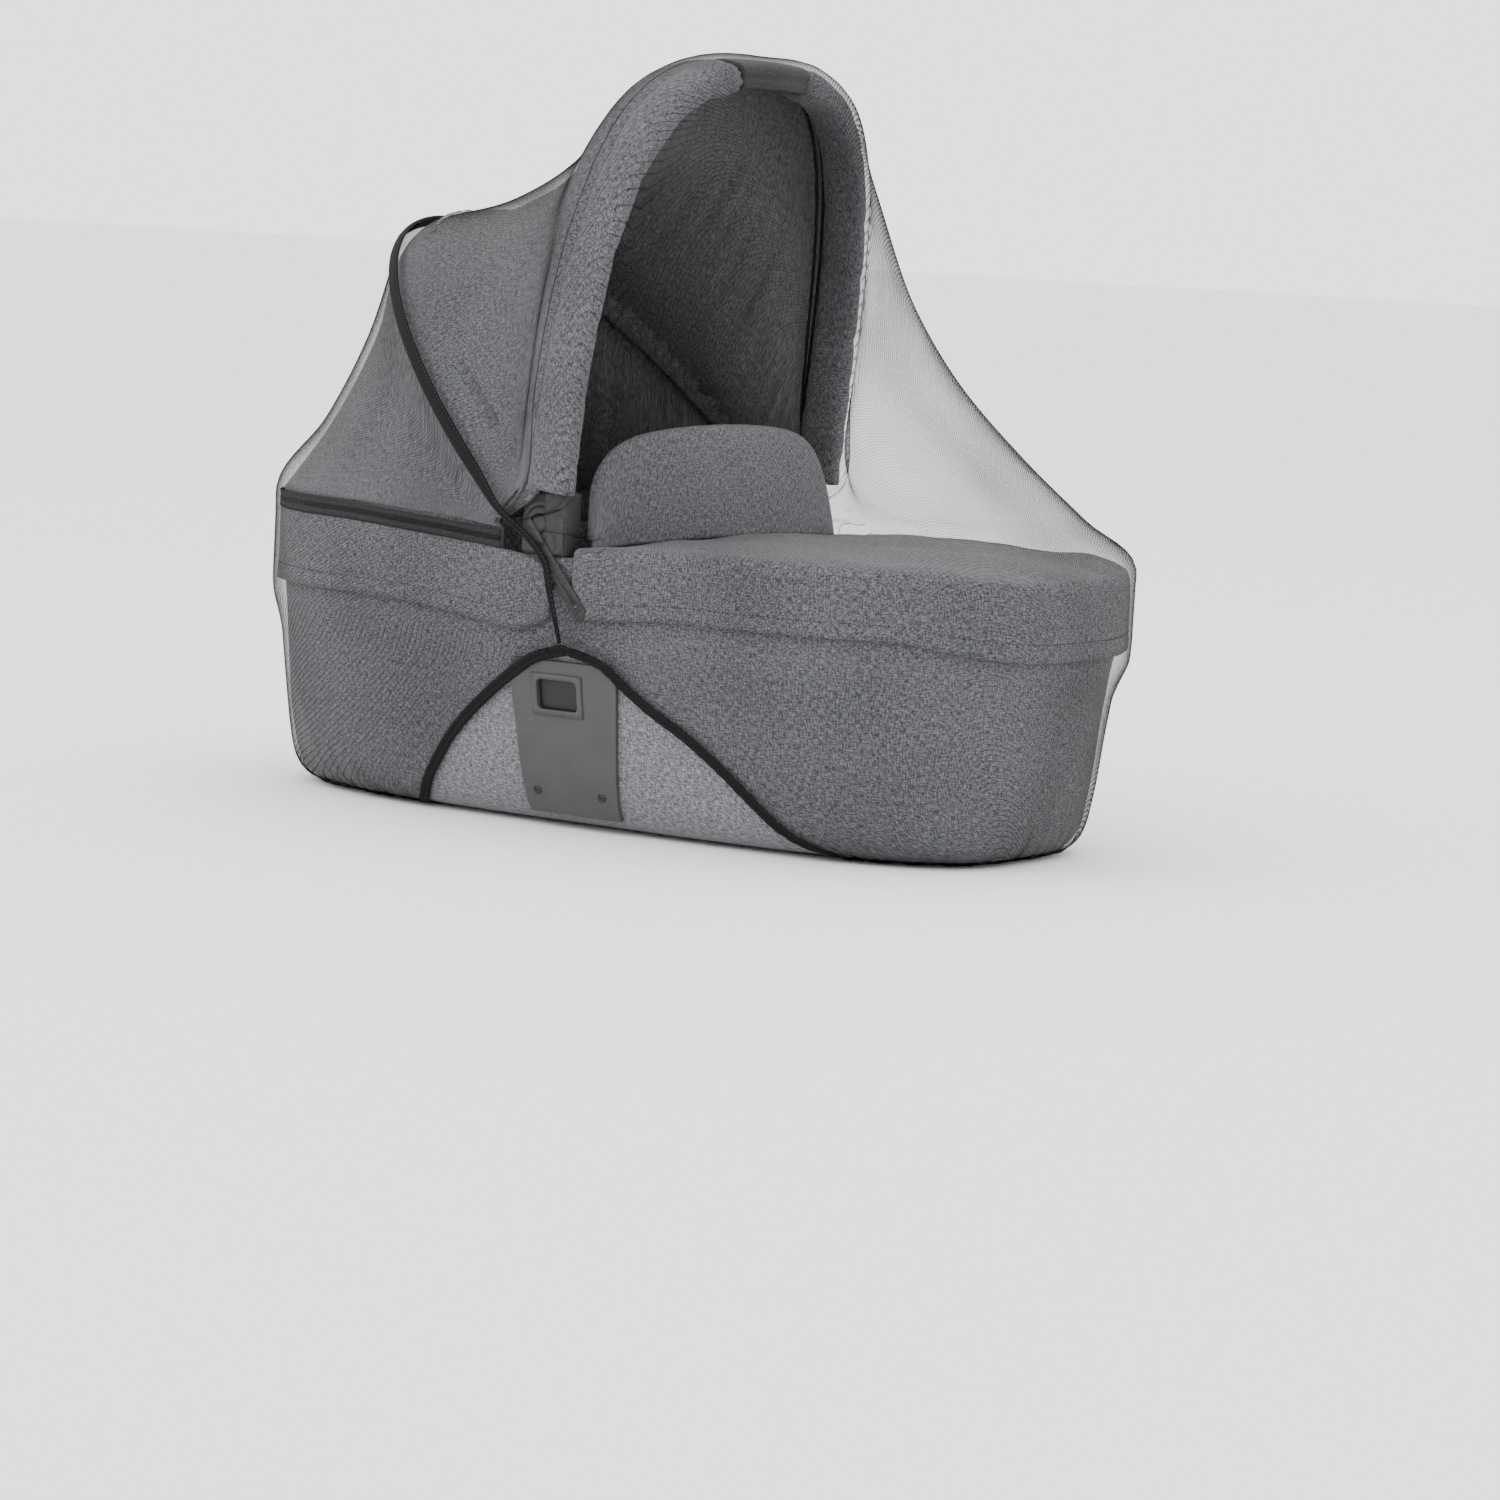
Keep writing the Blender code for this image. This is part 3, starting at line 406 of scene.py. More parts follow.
def arm_stations(end):
    """Edge, inner and panel points of the arm at each panel row below the apex."""
    edge, inner, panel = arm_curves(end)
    paths = [path_at_height(z) for z in ROWS_BELOW] + [BASE_PATH + 2.0]
    stations = []
    for path in paths:
        at = np.interp(path, np.maximum.accumulate(panel[:, 1]), np.arange(len(panel)))
        pick = [
            [np.interp(at, np.arange(len(line)), line[:, col]) for col in (0, 1)]
            for line in (edge, inner, panel)
        ]
        stations.append(pick)
    return stations


def corner_station(end):
    """The arm's last station, where it turns into the hem."""
    edge_x = (FOOT_ARM_BASE if end > 0 else HEAD_ARM_BASE)[-1][0]
    inner = (edge_x + end * BINDING_WIDTH, HEM_PATH - BINDING_WIDTH)
    cut = BINDING_WIDTH + JOIN_GAP
    return [(edge_x, HEM_PATH), inner, (edge_x + end * cut, HEM_PATH - cut)]


def pull_back(rows, seam_rows):
    """Draw the ridge row and the seam's columns back from the joint by the join gap."""
    for col in range(1, len(rows[0]) - 1):
        shift = rows[1][col] - rows[0][col]
        rows[0][col] = rows[0][col] + shift / np.linalg.norm(shift) * SEAM_HALF_GAP
    for index in range(seam_rows):
        guide = max(index, 1)
        for col, inner in ((0, 1), (-1, -2)):
            shift = rows[guide][inner] - rows[guide][col]
            rows[index][col] = rows[index][col] + shift / np.linalg.norm(shift) * SEAM_HALF_GAP


def lower_rows(end):
    """The panel's rows from below the rim down to the hem binding."""
    seam = np.array(SEAM)
    rows = []
    for z in ROWS_ABOVE[1:]:
        x = float(np.interp(-z, -seam[:, 1], seam[:, 0]))
        rows.append(net_row(end, x, path_at_height(z)))
    rows.append(net_row(end, SEAM[-1][0], path_at_height(SEAM[-1][1] + JOIN_GAP)))
    for station in arm_stations(end) + [corner_station(end)]:
        x, path = station[2]
        rows.append(net_row(end, x, path))
    return rows


def fan_points(count):
    """Where a panel's rows gather on the seam beside the pivot."""
    top = np.array((SEAM[0][0], -204.6, SEAM[0][1]))
    low = net_point(-1, SEAM[1][0], 0.0)
    return line_points(top, low, count)


def head_net_rows():
    ridge = bow_row(REAR_BOW, 3.0, 6.0)
    rim = net_row(-1, ZIP_END_X, 0.0)
    upper = [ridge] + [between(ridge, rim, share, BACK_SAG) for share in (0.35, 0.7)] + [rim]
    pin_sides(upper, fan_points(len(upper)))
    rows = upper + lower_rows(-1)
    pull_back(rows, len(upper) + len(ROWS_ABOVE))
    return rows


def roll_rows(bow, offsets):
    return [bow_row(bow, grow, grow, along) for along, grow in offsets]


def front_net_rows():
    ridge = bow_row(REAR_BOW, 3.0, 6.0)
    # columns: way along the front bow's plane normal, way outwards
    over_roll = ((-20.8, 12.5), (-9.7, 15.0), (6.0, 15.5), (17.6, 10.5), (23.6, 2.5))
    bow_rows = roll_rows(FRONT_BOW, over_roll)
    rim = net_row(1, SEAM[1][0], 0.0)
    upper = [ridge]
    upper += [between(ridge, bow_rows[0], share, HOOD_SAG) for share in (0.33, 0.67)]
    upper += bow_rows
    upper += [between(bow_rows[-1], rim, share, SPAN_SAG) for share in (0.15, 0.35, 0.55, 0.75, 0.9)]
    upper.append(rim)
    pin_sides(upper, fan_points(len(upper)))
    rows = upper + lower_rows(1)
    pull_back(rows, len(upper) + len(ROWS_ABOVE))
    return rows


def canopy_rows():
    start = bow_row(FRONT_BOW, 8.0, 5.0, -24.5)
    ridge = bow_row(REAR_BOW, 0.0)
    rim = ring_row(-1, ZIP_END_X, 250.0, 250.0, CLOTH_INSET, CLOTH_INSET)
    rim = [np.array((x, y, zip_top(x) + 2.6)) for x, y, _ in rim]
    net_start = bow_row(FRONT_BOW, 12.5, 12.5, -20.8)
    net_ridge = bow_row(REAR_BOW, 3.0, 6.0)
    rows = [start]
    for share in (0.33, 0.67):
        rows.append(shrink(between(net_start, net_ridge, share, HOOD_SAG), 4.2))
    rows.append(ridge)
    rows += [between(ridge, rim, share, BACK_SAG) for share in (0.35, 0.7)]
    rows.append(rim)
    pin_sides(rows, line_points((-64.0, -199.5, 268.0), rim[0], len(rows)))
    return rows


def arch_points(bow, grow, along, first, last, count):
    """Evenly spaced points and tangents on a bow between two angles, in degrees."""
    fine = [bow_point(bow, angle, grow, grow, along) for angle in np.linspace(first, last, 900)]
    fine = np.array(fine)
    steps = np.linalg.norm(np.diff(fine, axis=0), axis=1)
    path = np.concatenate(((0.0,), np.cumsum(steps)))
    places = np.linspace(0.0, path[-1], count)
    slopes = np.gradient(fine, axis=0)
    slopes /= np.linalg.norm(slopes, axis=1)[:, None]
    centres = np.stack([np.interp(places, path, fine[:, col]) for col in range(3)], 1)
    tangents = np.stack([np.interp(places, path, slopes[:, col]) for col in range(3)], 1)
    tangents /= np.linalg.norm(tangents, axis=1)[:, None]
    return centres, tangents


def bow_normal(bow):
    tilt = math.radians(bow["tilt"])
    return np.array((math.cos(tilt), 0.0, math.sin(tilt)))


def angle_at_width(bow, y):
    """The arch angle, in degrees, where the near half reaches the distance y from the middle."""
    return math.degrees(math.acos((y / bow["half_width"]) ** (bow["power"] / 2)))


def apron_crown(x, y):
    """Height of the foot cover's soft top."""
    across = max(0.0, 1 - (y / 175.0) ** 2)
    along = max(0.0, 1 - max(0.0, (x - 120.0) / 270.0) ** 2)
    places = (20.0, 60.0, 150.0, 320.0, 400.0)
    length = float(np.interp(x, places, (245.5, 247.0, 252.0, 251.0, 242.0)))
    return length + 5.0 * across * along

# Rows of the sewn and fitted pieces, as the solids have them


def edge_binding_rows(end):
    """The tape's edge line and its inner line: near arm, hem, far arm."""
    first_x = SEAM[-1][0] + end * JOIN_GAP
    apex_x = (FOOT_ARM if end > 0 else HEAD_ARM)[0][0] + end * JOIN_GAP
    outer = [net_point(end, apex_x, path_at_height(HEAD_ARM[0][1]))]
    inner = [net_point(end, first_x, path_at_height(SEAM[-1][1]))]
    for station in arm_stations(end):
        outer.append(net_point(end, *station[0]))
        inner.append(net_point(end, *station[1]))
    edge, tape, _ = corner_station(end)
    outer = outer + net_row(end, *edge) + [mirror_y(point) for point in reversed(outer)]
    inner = inner + net_row(end, *tape) + [mirror_y(point) for point in reversed(inner)]
    return np.array([outer, inner])


def ridge_binding_rows():
    """Left, centre and right line of the tape over the panels' joint."""
    head = head_net_rows()
    front = front_net_rows()
    left, centre, right = [], [], []
    seam = np.array(SEAM[1:])
    for z in (163.4, 172.0, 190.0, 210.0, 228.0, 241.0, 252.0):
        x = float(np.interp(-z, -seam[:, 1], seam[:, 0]))
        width = 1.6 + 1.6 * (z - 163.0) / 90.0
        point = net_point(-1, x, path_at_height(z))
        centre.append(point)
        left.append(point + np.array((-width, 0.0, -width * 0.4)))
        right.append(point + np.array((width, 0.0, width * 0.4)))
    for col in range(1, (len(head[0]) - 1) // 2 + 1):
        point = (head[0][col] + front[0][col]) / 2
        width = RIDGE_HALF_WIDTH * min(1.0, 0.7 + 0.1 * col)
        centre.append(point)
        left.append(point + unit(head[1][col] - head[0][col]) * width)
        right.append(point + unit(front[1][col] - front[0][col]) * width)
    return np.array([line + [mirror_y(p) for p in reversed(line[:-1])] for line in (left, centre, right)])


def tub_rows(count=96):
    rows = []
    for z, in_side, in_head, in_foot in TUB_PROFILE:
        row = []
        for step in range(count + 1):
            psi = 2 * math.pi * (step % count) / count
            end = 1 if math.cos(psi) >= 0 else -1
            angle = psi if end > 0 else math.pi - psi
            inset = in_foot if end > 0 else in_head
            row.append(ring_point(angle, end, z, z, in_side, inset))
        rows.append(row)
    return np.array(rows)


def band_rows():
    rows = [[], [], [], []]
    start = plan_angle(BAND_END_X, HALF_LENGTH - CLOTH_INSET, HEAD_POWER, -1)
    shares = (1.0, 0.985, 0.96) + COLUMNS[2:]
    shares = list(shares) + [-value for value in reversed(shares[:-1])]
    size = (HALF_LENGTH - CLOTH_INSET, HALF_WIDTH - CLOTH_INSET)
    for share in shares:
        x, y = plan_point(start * share, *size, HEAD_POWER, -1)
        corner = float(np.interp(x, (-14.0, -8.0, -3.0), (0.0, 3.0, 12.0)))
        ceiling = zip_top(x) - ZIP_HEIGHT - SEAT_GAP - corner * 0.5
        ceiling -= float(np.interp(x, (-58.0, -3.0), (0.0, 6.0)))
        floor = float(np.interp(x, (-164, -107, -53, -20), (185.0, 179.0, 173.0, 171.0))) + corner
        for row, z in zip(rows, (ceiling, ceiling - (ceiling - floor) * 0.35, floor + 14.0, floor)):
            row.append((x, y, z))
    return np.array(rows)


def zip_rows():
    """The zip's tape from its top edge down: edge, fold, coil, fold, edge."""
    rows = []
    for drop, proud in ZIP_SECTION:
        row = ring_row(-1, ZIP_END_X, 250.0, 250.0, ZIP_INSET - proud, ZIP_INSET - proud)
        rows.append([(p[0], p[1], zip_top(p[0]) - drop * ZIP_HEIGHT) for p in row])
    return np.array(rows)


def apron_rows():
    rows = []
    base = (1, APRON_START_X, 250.0, 250.0)
    for share, extra in ((0.0, 0.0), (0.35, 0.0), (0.72, 0.0), (1.0, 2.0)):
        row = []
        for x, y, _ in ring_row(*base, CLOTH_INSET + extra, CLOTH_INSET + extra):
            low = 190.0 - 15.0 * max(0.0, (x - 330.0) / 70.0)
            low -= float(np.interp(x, (20.0, 110.0), (7.0, 0.0)))
            high = 247.0 - float(np.interp(x, (20.0, 130.0), (5.0, 0.0)))
            high -= 6.0 * max(0.0, (x - 330.0) / 70.0)
            row.append((x, y, low + (high - low) * share))
        rows.append(row)
    for shrunk in (14.0, 40.0, 85.0, 140.0):
        ring = ring_row(*base, CLOTH_INSET + shrunk, CLOTH_INSET + shrunk)
        rows.append([(x, y, apron_crown(x, y)) for x, y, _ in ring])
    limit = HALF_LENGTH - CLOTH_INSET - 210.0
    spine = [(min(p[0], limit), 0.0, apron_crown(min(p[0], limit), 0.0)) for p in rows[-1]]
    return np.array(rows + [spine])


# Grids: refining, normals, folds


def refine(grid, axis, target):
    """Smooth extra points between a grid's knots, about target millimetres apart."""
    grid = np.moveaxis(np.asarray(grid, float), axis, 0)
    steps = np.maximum(np.linalg.norm(np.diff(grid, axis=0), axis=2), 1e-4)
    slopes = np.diff(grid, axis=0) / steps[..., None]
    lead = np.empty_like(grid)
    before = steps[:-1][..., None]
    after = steps[1:][..., None]
    lead[1:-1] = (slopes[:-1] * after + slopes[1:] * before) / (before + after)
    lead[0] = slopes[0]
    lead[-1] = slopes[-1]
    pieces = [grid[:1]]
    for low in range(len(grid) - 1):
        count = max(1, int(round(float(steps[low].mean()) / target)))
        t = (np.arange(1, count + 1) / count)[:, None, None]
        h = steps[low][None, :, None]
        pieces.append(
            (2 * t**3 - 3 * t**2 + 1) * grid[low]
            + (t**3 - 2 * t**2 + t) * h * lead[low]
            + (3 * t**2 - 2 * t**3) * grid[low + 1]
            + (t**3 - t**2) * h * lead[low + 1]
        )
    return np.moveaxis(np.concatenate(pieces), 0, axis)


def refine_both(grid, across, along):
    return refine(refine(grid, 1, across), 0, along)


def grid_lengths(grid):
    """Path lengths along each row (from its middle) and down each column, in millimetres."""
    across = np.zeros(grid.shape[:2])
    across[:, 1:] = np.cumsum(np.linalg.norm(np.diff(grid, axis=1), axis=2), axis=1)
    across -= across[:, -1:] / 2
    down = np.zeros(grid.shape[:2])
    down[1:] = np.cumsum(np.linalg.norm(np.diff(grid, axis=0), axis=2), axis=0)
    return across, down


def grid_normals(grid, middle):
    """Unit normals that point away from the middle."""
    normal = np.cross(np.gradient(grid, axis=1), np.gradient(grid, axis=0))
    normal /= np.maximum(np.linalg.norm(normal, axis=2), 1e-9)[..., None]
    outward = np.sum(normal * (grid - np.array(middle, float)))
    return normal * (1.0 if outward >= 0 else -1.0)


def move_out(grid, distance, middle=BODY_MIDDLE):
    distance = np.broadcast_to(np.asarray(distance, float), grid.shape[:2])
    return grid + grid_normals(grid, middle) * distance[..., None]


def soft_noise(u, v, size, seed, parts=7):
    """Smooth uneven values of about -1 to 1, from a few waves with seeded directions."""
    draw = np.random.default_rng(seed)
    total = np.zeros(np.broadcast(u, v).shape)
    for _ in range(parts):
        angle = draw.uniform(0, 2 * math.pi)
        wave = size * draw.uniform(0.7, 1.6)
        total += np.sin(2 * math.pi * (u * math.cos(angle) + v * math.sin(angle)) / wave + draw.uniform(0, 6.28))
    return total / math.sqrt(parts)


def troughs(place, spacing, width, seed):
    """Depth 0 to 1 of soft creases across a running length, unevenly spaced and deep."""
    draw = np.random.default_rng(seed)
    low, high = float(place.min()), float(place.max())
    depth = np.zeros(place.shape)
    at = low + spacing * draw.uniform(0.2, 0.8)
    while at < high:
        reach = width * draw.uniform(0.7, 1.5)
        depth = np.maximum(depth, draw.uniform(0.35, 1.0) * np.exp(-(((place - at) / reach) ** 2)))
        at += spacing * draw.uniform(0.6, 1.5)
    return depth


def grid_object(name, grid, material, middle=BODY_MIDDLE, wrap=False, floor_hole=False):
    """A smooth mesh laid on a grid of points, its UV map in metres along the cloth."""
    rows, cols = grid.shape[:2]
    across, down = grid_lengths(grid)
    bm = bmesh.new()
    bmesh.ops.create_grid(bm, x_segments=cols - 1, y_segments=rows - 1, size=0.5)
    uv = bm.loops.layers.uv.new("UVMap")
    place = {}
    for vert in bm.verts:
        col = int(round((vert.co.x + 0.5) * (cols - 1)))
        row = int(round((vert.co.y + 0.5) * (rows - 1)))
        place[vert] = (row, col)
    for face in bm.faces:
        for loop in face.loops:
            row, col = place[loop.vert]
            loop[uv].uv = (across[row, col] * 0.001, down[row, col] * 0.001)
    for vert, (row, col) in place.items():
        vert.co = grid[row, col] * 0.001
    bmesh.ops.remove_doubles(bm, verts=bm.verts, dist=0.000002)
    bmesh.ops.dissolve_degenerate(bm, edges=bm.edges, dist=0.000002)
    if floor_hole:
        low = min(vert.co.z for vert in bm.verts) + 0.0005
        rim = [edge for edge in bm.edges if edge.is_boundary and edge.verts[0].co.z < low]
        bmesh.ops.contextual_create(bm, geom=rim)
    bm.normal_update()
    if wrap:
        bmesh.ops.recalc_face_normals(bm, faces=bm.faces)
    else:
        centre = Vector(middle) * 0.001
        outward = sum(f.normal.dot(f.calc_center_median() - centre) * f.calc_area() for f in bm.faces)
        if outward < 0:
            bmesh.ops.reverse_faces(bm, faces=bm.faces)
    return mesh_object(name, bm, material)


def mesh_object(name, bm, material, sharp=None):
    mesh = bpy.data.meshes.new(name)
    bm.to_mesh(mesh)
    bm.free()
    mesh.shade_smooth()
    if sharp is not None:
        mesh.set_sharp_from_angle(angle=math.radians(sharp))
    piece = bpy.data.objects.new(name, mesh)
    bpy.context.scene.collection.objects.link(piece)
    mesh.materials.append(material)
    return piece


def thicken(piece, millimetres, offset=-1.0):
    solid = piece.modifiers.new("Thickness", "SOLIDIFY")
    solid.thickness = millimetres * 0.001
    solid.offset = offset
    solid.use_even_offset = False
    return piece


def attach(piece, slot, *nodes):
    """The piece rides on the body and stands for its solids; the slot is not used."""
    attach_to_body(piece, BODY)
    if nodes:
        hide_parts(*nodes)
    return piece


def declare_sheet(grid):
    across, down = grid_lengths(grid)
    width = float((across[:, -1] - across[:, 0]).max()) * 0.001
    length = float(down[-1].max()) * 0.001
    quads = np.cross(grid[1:, 1:] - grid[:-1, :-1], grid[1:, :-1] - grid[:-1, 1:])
    area = float(np.linalg.norm(quads, axis=2).sum()) * 0.5e-6
    area = min(max(area, 0.31 * width * length), width * length)


def tube_grid(centres, tangents, normal, half_along, half_out, sides, power=2.0):
    """Oval sections along an arch, as a grid of sections by points round them."""
    angles = np.linspace(0.0, 2 * math.pi, sides + 1)
    cosine = np.sign(np.cos(angles)) * np.abs(np.cos(angles)) ** (2 / power)
    sine = np.sign(np.sin(angles)) * np.abs(np.sin(angles)) ** (2 / power)
    cosine[-1], sine[-1] = cosine[0], sine[0]
    out = np.cross(tangents, normal)
    out /= np.linalg.norm(out, axis=1)[:, None]
    wide = np.broadcast_to(half_along, (len(centres), sides + 1)) * cosine
    deep = np.broadcast_to(half_out, (len(centres), sides + 1)) * sine
    return centres[:, None] + normal * wide[..., None] + out[:, None] * deep[..., None]


def cap_ends(grid, rounding=3.0):
    """Close a tube's ends with two shrunk sections and a point each."""
    first, last = grid[0], grid[-1]
    extra = []
    for ring, nxt in ((first, grid[1]), (last, grid[-2])):
        middle = ring[:-1].mean(axis=0)
        way = unit(middle - nxt[:-1].mean(axis=0)) * rounding
        extra.append([middle + (ring - middle) * s + way * g for s, g in ((0.82, 0.6), (0.45, 0.95), (0.0, 1.0))])
    return np.array(list(reversed(extra[0])) + list(grid) + extra[1])


def cord_along(name, line, radius, material, sides=8):
    """A thin round piping along a line of points."""
    line = np.asarray(line, float)
    lead = np.gradient(line, axis=0)
    lead /= np.linalg.norm(lead, axis=1)[:, None]
    side = np.cross(lead, unit(np.array((0.13, 0.21, 1.0))))
    side /= np.linalg.norm(side, axis=1)[:, None]
    up = np.cross(side, lead)
    angles = np.linspace(0, 2 * math.pi, sides + 1)
    ring = side[:, None] * np.cos(angles)[None, :, None] + up[:, None] * np.sin(angles)[None, :, None]
    ring[:, -1] = ring[:, 0]
    return grid_object(name, cap_ends(line[:, None] + ring * radius, radius * 0.5), material, wrap=True)


def stitches(name, lines, material, pitch=4.2, length=2.8, radius=0.28):
    """Rows of short thread stitches along lines of points, joined in one mesh."""
    bm = bmesh.new()
    for line in lines:
        line = np.asarray(line, float)
        path = np.concatenate(((0.0,), np.cumsum(np.linalg.norm(np.diff(line, axis=0), axis=1))))
        for at in np.arange(pitch, path[-1] - pitch, pitch):
            ends = [np.array([np.interp(at + d, path, line[:, c]) for c in range(3)]) for d in (0, length)]
            way = Vector(ends[1] - ends[0])
            turn = way.to_track_quat("Z", "Y").to_matrix().to_4x4()
            scale = Matrix.Diagonal((radius * 0.002, radius * 0.002, way.length * 0.001, 1.0))
            centre = Matrix.Translation(Vector((ends[0] + ends[1]) / 2) * 0.001)
            made = bmesh.ops.create_cube(bm, size=1.0, matrix=centre @ turn @ scale)
            top = [v for v in made["verts"]]
            bmesh.ops.smooth_vert(bm, verts=top, factor=0.25, use_axis_x=True, use_axis_y=True, use_axis_z=True)
    return mesh_object(name, bm, material)


# Materials


class Nodes:
    """A short way to build one material's nodes."""

    def __init__(self, name, color, roughness):
        self.material = bpy.data.materials.new(name)
        self.material.use_nodes = True
        self.tree = self.material.node_tree
        self.shader = self.tree.nodes["Principled BSDF"]
        self.shader.inputs["Base Color"].default_value = (*color, 1.0)
        self.shader.inputs["Roughness"].default_value = roughness
        self.shader.inputs["Specular IOR Level"].default_value = 0.25

    def add(self, kind, **inputs):
        node = self.tree.nodes.new(kind)
        for key, value in inputs.items():
            self.feed(node, key.replace("_", " "), value)
        return node

    def feed(self, node, key, value):
        socket = node.inputs[int(key[1:])] if key[0] == "i" and key[1:].isdigit() else node.inputs[key]
        if isinstance(value, bpy.types.NodeSocket):
            self.tree.links.new(value, socket)
        else:
            socket.default_value = value

    def math(self, operation, one, two=0.0, clamp=False):
        node = self.tree.nodes.new("ShaderNodeMath")
        node.operation = operation
        node.use_clamp = clamp
        self.feed(node, "i0", one)
        self.feed(node, "i1", two)
        return node.outputs[0]

    def uv(self, scale, turn=0.0):
        """The cloth's own coordinates, in metres times scale."""
        source = self.tree.nodes.new("ShaderNodeUVMap")
        source.uv_map = "UVMap"
        mapping = self.add("ShaderNodeMapping", Vector=source.outputs[0])
        mapping.inputs["Scale"].default_value = scale
        mapping.inputs["Rotation"].default_value = (0.0, 0.0, turn)
        return mapping.outputs[0]

    def place(self, scale):
        source = self.tree.nodes.new("ShaderNodeTexCoord")
        mapping = self.add("ShaderNodeMapping", Vector=source.outputs["Object"])
        mapping.inputs["Scale"].default_value = scale
        return mapping.outputs[0]

    def noise(self, vector, scale, detail=2.0, roughness=0.5):
        node = self.add("ShaderNodeTexNoise", Vector=vector, Scale=scale, Detail=detail, Roughness=roughness)
        return node.outputs["Fac"]

    def wave(self, vector, pitch, distortion=0.0, direction="X"):
        """Bands one pitch apart, in the units of the coordinates."""
        node = self.add("ShaderNodeTexWave", Vector=vector, Scale=math.pi / 10 / pitch, Distortion=distortion)
        node.bands_direction = direction
        return node.outputs["Fac"]

    def ramp(self, value, stops):
        node = self.add("ShaderNodeValToRGB", Fac=value)
        while len(node.color_ramp.elements) < len(stops):
            node.color_ramp.elements.new(0.5)
        for element, (at, color) in zip(node.color_ramp.elements, stops):
            element.position = at
            element.color = (*color, 1.0)
        return node.outputs["Color"]

    def mix(self, share, one, two, blend="MIX"):
        node = self.tree.nodes.new("ShaderNodeMix")
        node.data_type = "RGBA"
        node.blend_type = blend
        for socket, value in zip((node.inputs[0], node.inputs[6], node.inputs[7]), (share, one, two)):
            if isinstance(value, bpy.types.NodeSocket):
                self.tree.links.new(value, socket)
            elif socket.type == "RGBA":
                socket.default_value = (*value, 1.0)
            else:
                socket.default_value = value
        return node.outputs[2]

    def bump(self, height, depth, strength=0.6):
        node = self.add("ShaderNodeBump", Height=height, Strength=strength, Distance=depth)
        self.tree.links.new(node.outputs[0], self.shader.inputs["Normal"])

    def color(self, value):
        self.tree.links.new(value, self.shader.inputs["Base Color"])


def line_along(grid, down, distance):
    """The line that lies a distance down every column of a grid."""
    line = []
    for col in range(grid.shape[1]):
        line.append([np.interp(distance, down[:, col], grid[:, col, axis]) for axis in range(3)])
    return np.array(line)


def scaled(color, factor):
    return tuple(min(1.0, channel * factor) for channel in color)


def melange_material(name, color, contrast, sheen):
    """Two-tone heather cloth: short slubs both ways, a plain weave, faint clouding."""
    made = Nodes(name, color, 0.9)
    warp = made.noise(made.uv((780.0, 190.0, 1.0)), 1.0, 2.0, 0.6)
    weft = made.noise(made.uv((210.0, 840.0, 1.0)), 1.0, 2.0, 0.6)
    fleck = made.math("ADD", made.math("MULTIPLY", warp, 0.5), made.math("MULTIPLY", weft, 0.5))
    stops = ((0.39, scaled(color, 1.0 - contrast)), (0.5, color), (0.62, scaled(color, 1.0 + contrast * 1.5)))
    tone = made.ramp(fleck, stops)
    cloud = made.noise(made.place((7.0, 7.0, 7.0)), 1.0, 2.0)
    tone = made.mix(0.3, tone, made.ramp(cloud, ((0.3, (0.8, 0.8, 0.81)), (0.7, (1.0, 1.0, 1.0)))), "MULTIPLY")
    made.color(tone)
    over = made.wave(made.uv((1.0, 1.0, 1.0)), WEAVE_PITCH, 0.0, "X")
    under = made.wave(made.uv((1.0, 1.0, 1.0)), WEAVE_PITCH, 0.0, "Y")
    height = made.math("ADD", made.math("MULTIPLY", over, under), made.math("MULTIPLY", fleck, 0.6))
    made.bump(height, 0.0003, 0.5)
    made.shader.inputs["Sheen Weight"].default_value = sheen
    made.shader.inputs["Sheen Roughness"].default_value = 0.5
    return made.material


def net_material(name, color, coverage, pitch):
    """Fine knotted net: thread lines both ways, open between, closing as it turns edge on."""
    made = Nodes(name, color, 0.7)
    lines = []
    for turn in (0.72, -0.72):
        vector = made.uv((1.0 / pitch, 1.0 / pitch, 1.0), turn)
        split = made.add("ShaderNodeSeparateXYZ", Vector=vector)
        saw = made.math("ABSOLUTE", made.math("SUBTRACT", made.math("FRACT", split.outputs[0]), 0.5))
        lines.append(saw)
    thread = made.math("SUBTRACT", 0.5, made.math("MAXIMUM", *lines))
    facing = made.add("ShaderNodeLayerWeight", Blend=0.5).outputs["Facing"]
    cosine = made.math("MAXIMUM", made.math("SUBTRACT", 1.0, facing), 0.035)
    uneven = made.noise(made.place((9.0, 9.0, 9.0)), 1.0, 2.0)
    share = made.math("MULTIPLY", made.math("ADD", uneven, 0.55), coverage)
    open_share = made.math("POWER", made.math("SUBTRACT", 1.0, share), made.math("DIVIDE", 1.0, cosine))
    smooth_cover = made.math("SUBTRACT", 1.0, open_share)
    reach = made.math("MULTIPLY", smooth_cover, 0.27)
    edge = made.math("SUBTRACT", reach, thread)
    sharp_cover = made.math("MULTIPLY", edge, 16.0)
    sharp_cover = made.math("ADD", sharp_cover, 0.5, clamp=True)
    alpha = made.math("ADD", made.math("MULTIPLY", sharp_cover, 0.45), made.math("MULTIPLY", smooth_cover, 0.55))
    made.tree.links.new(made.math("MINIMUM", alpha, 1.0), made.shader.inputs["Alpha"])
    made.shader.inputs["Specular IOR Level"].default_value = 0.0
    return made.material


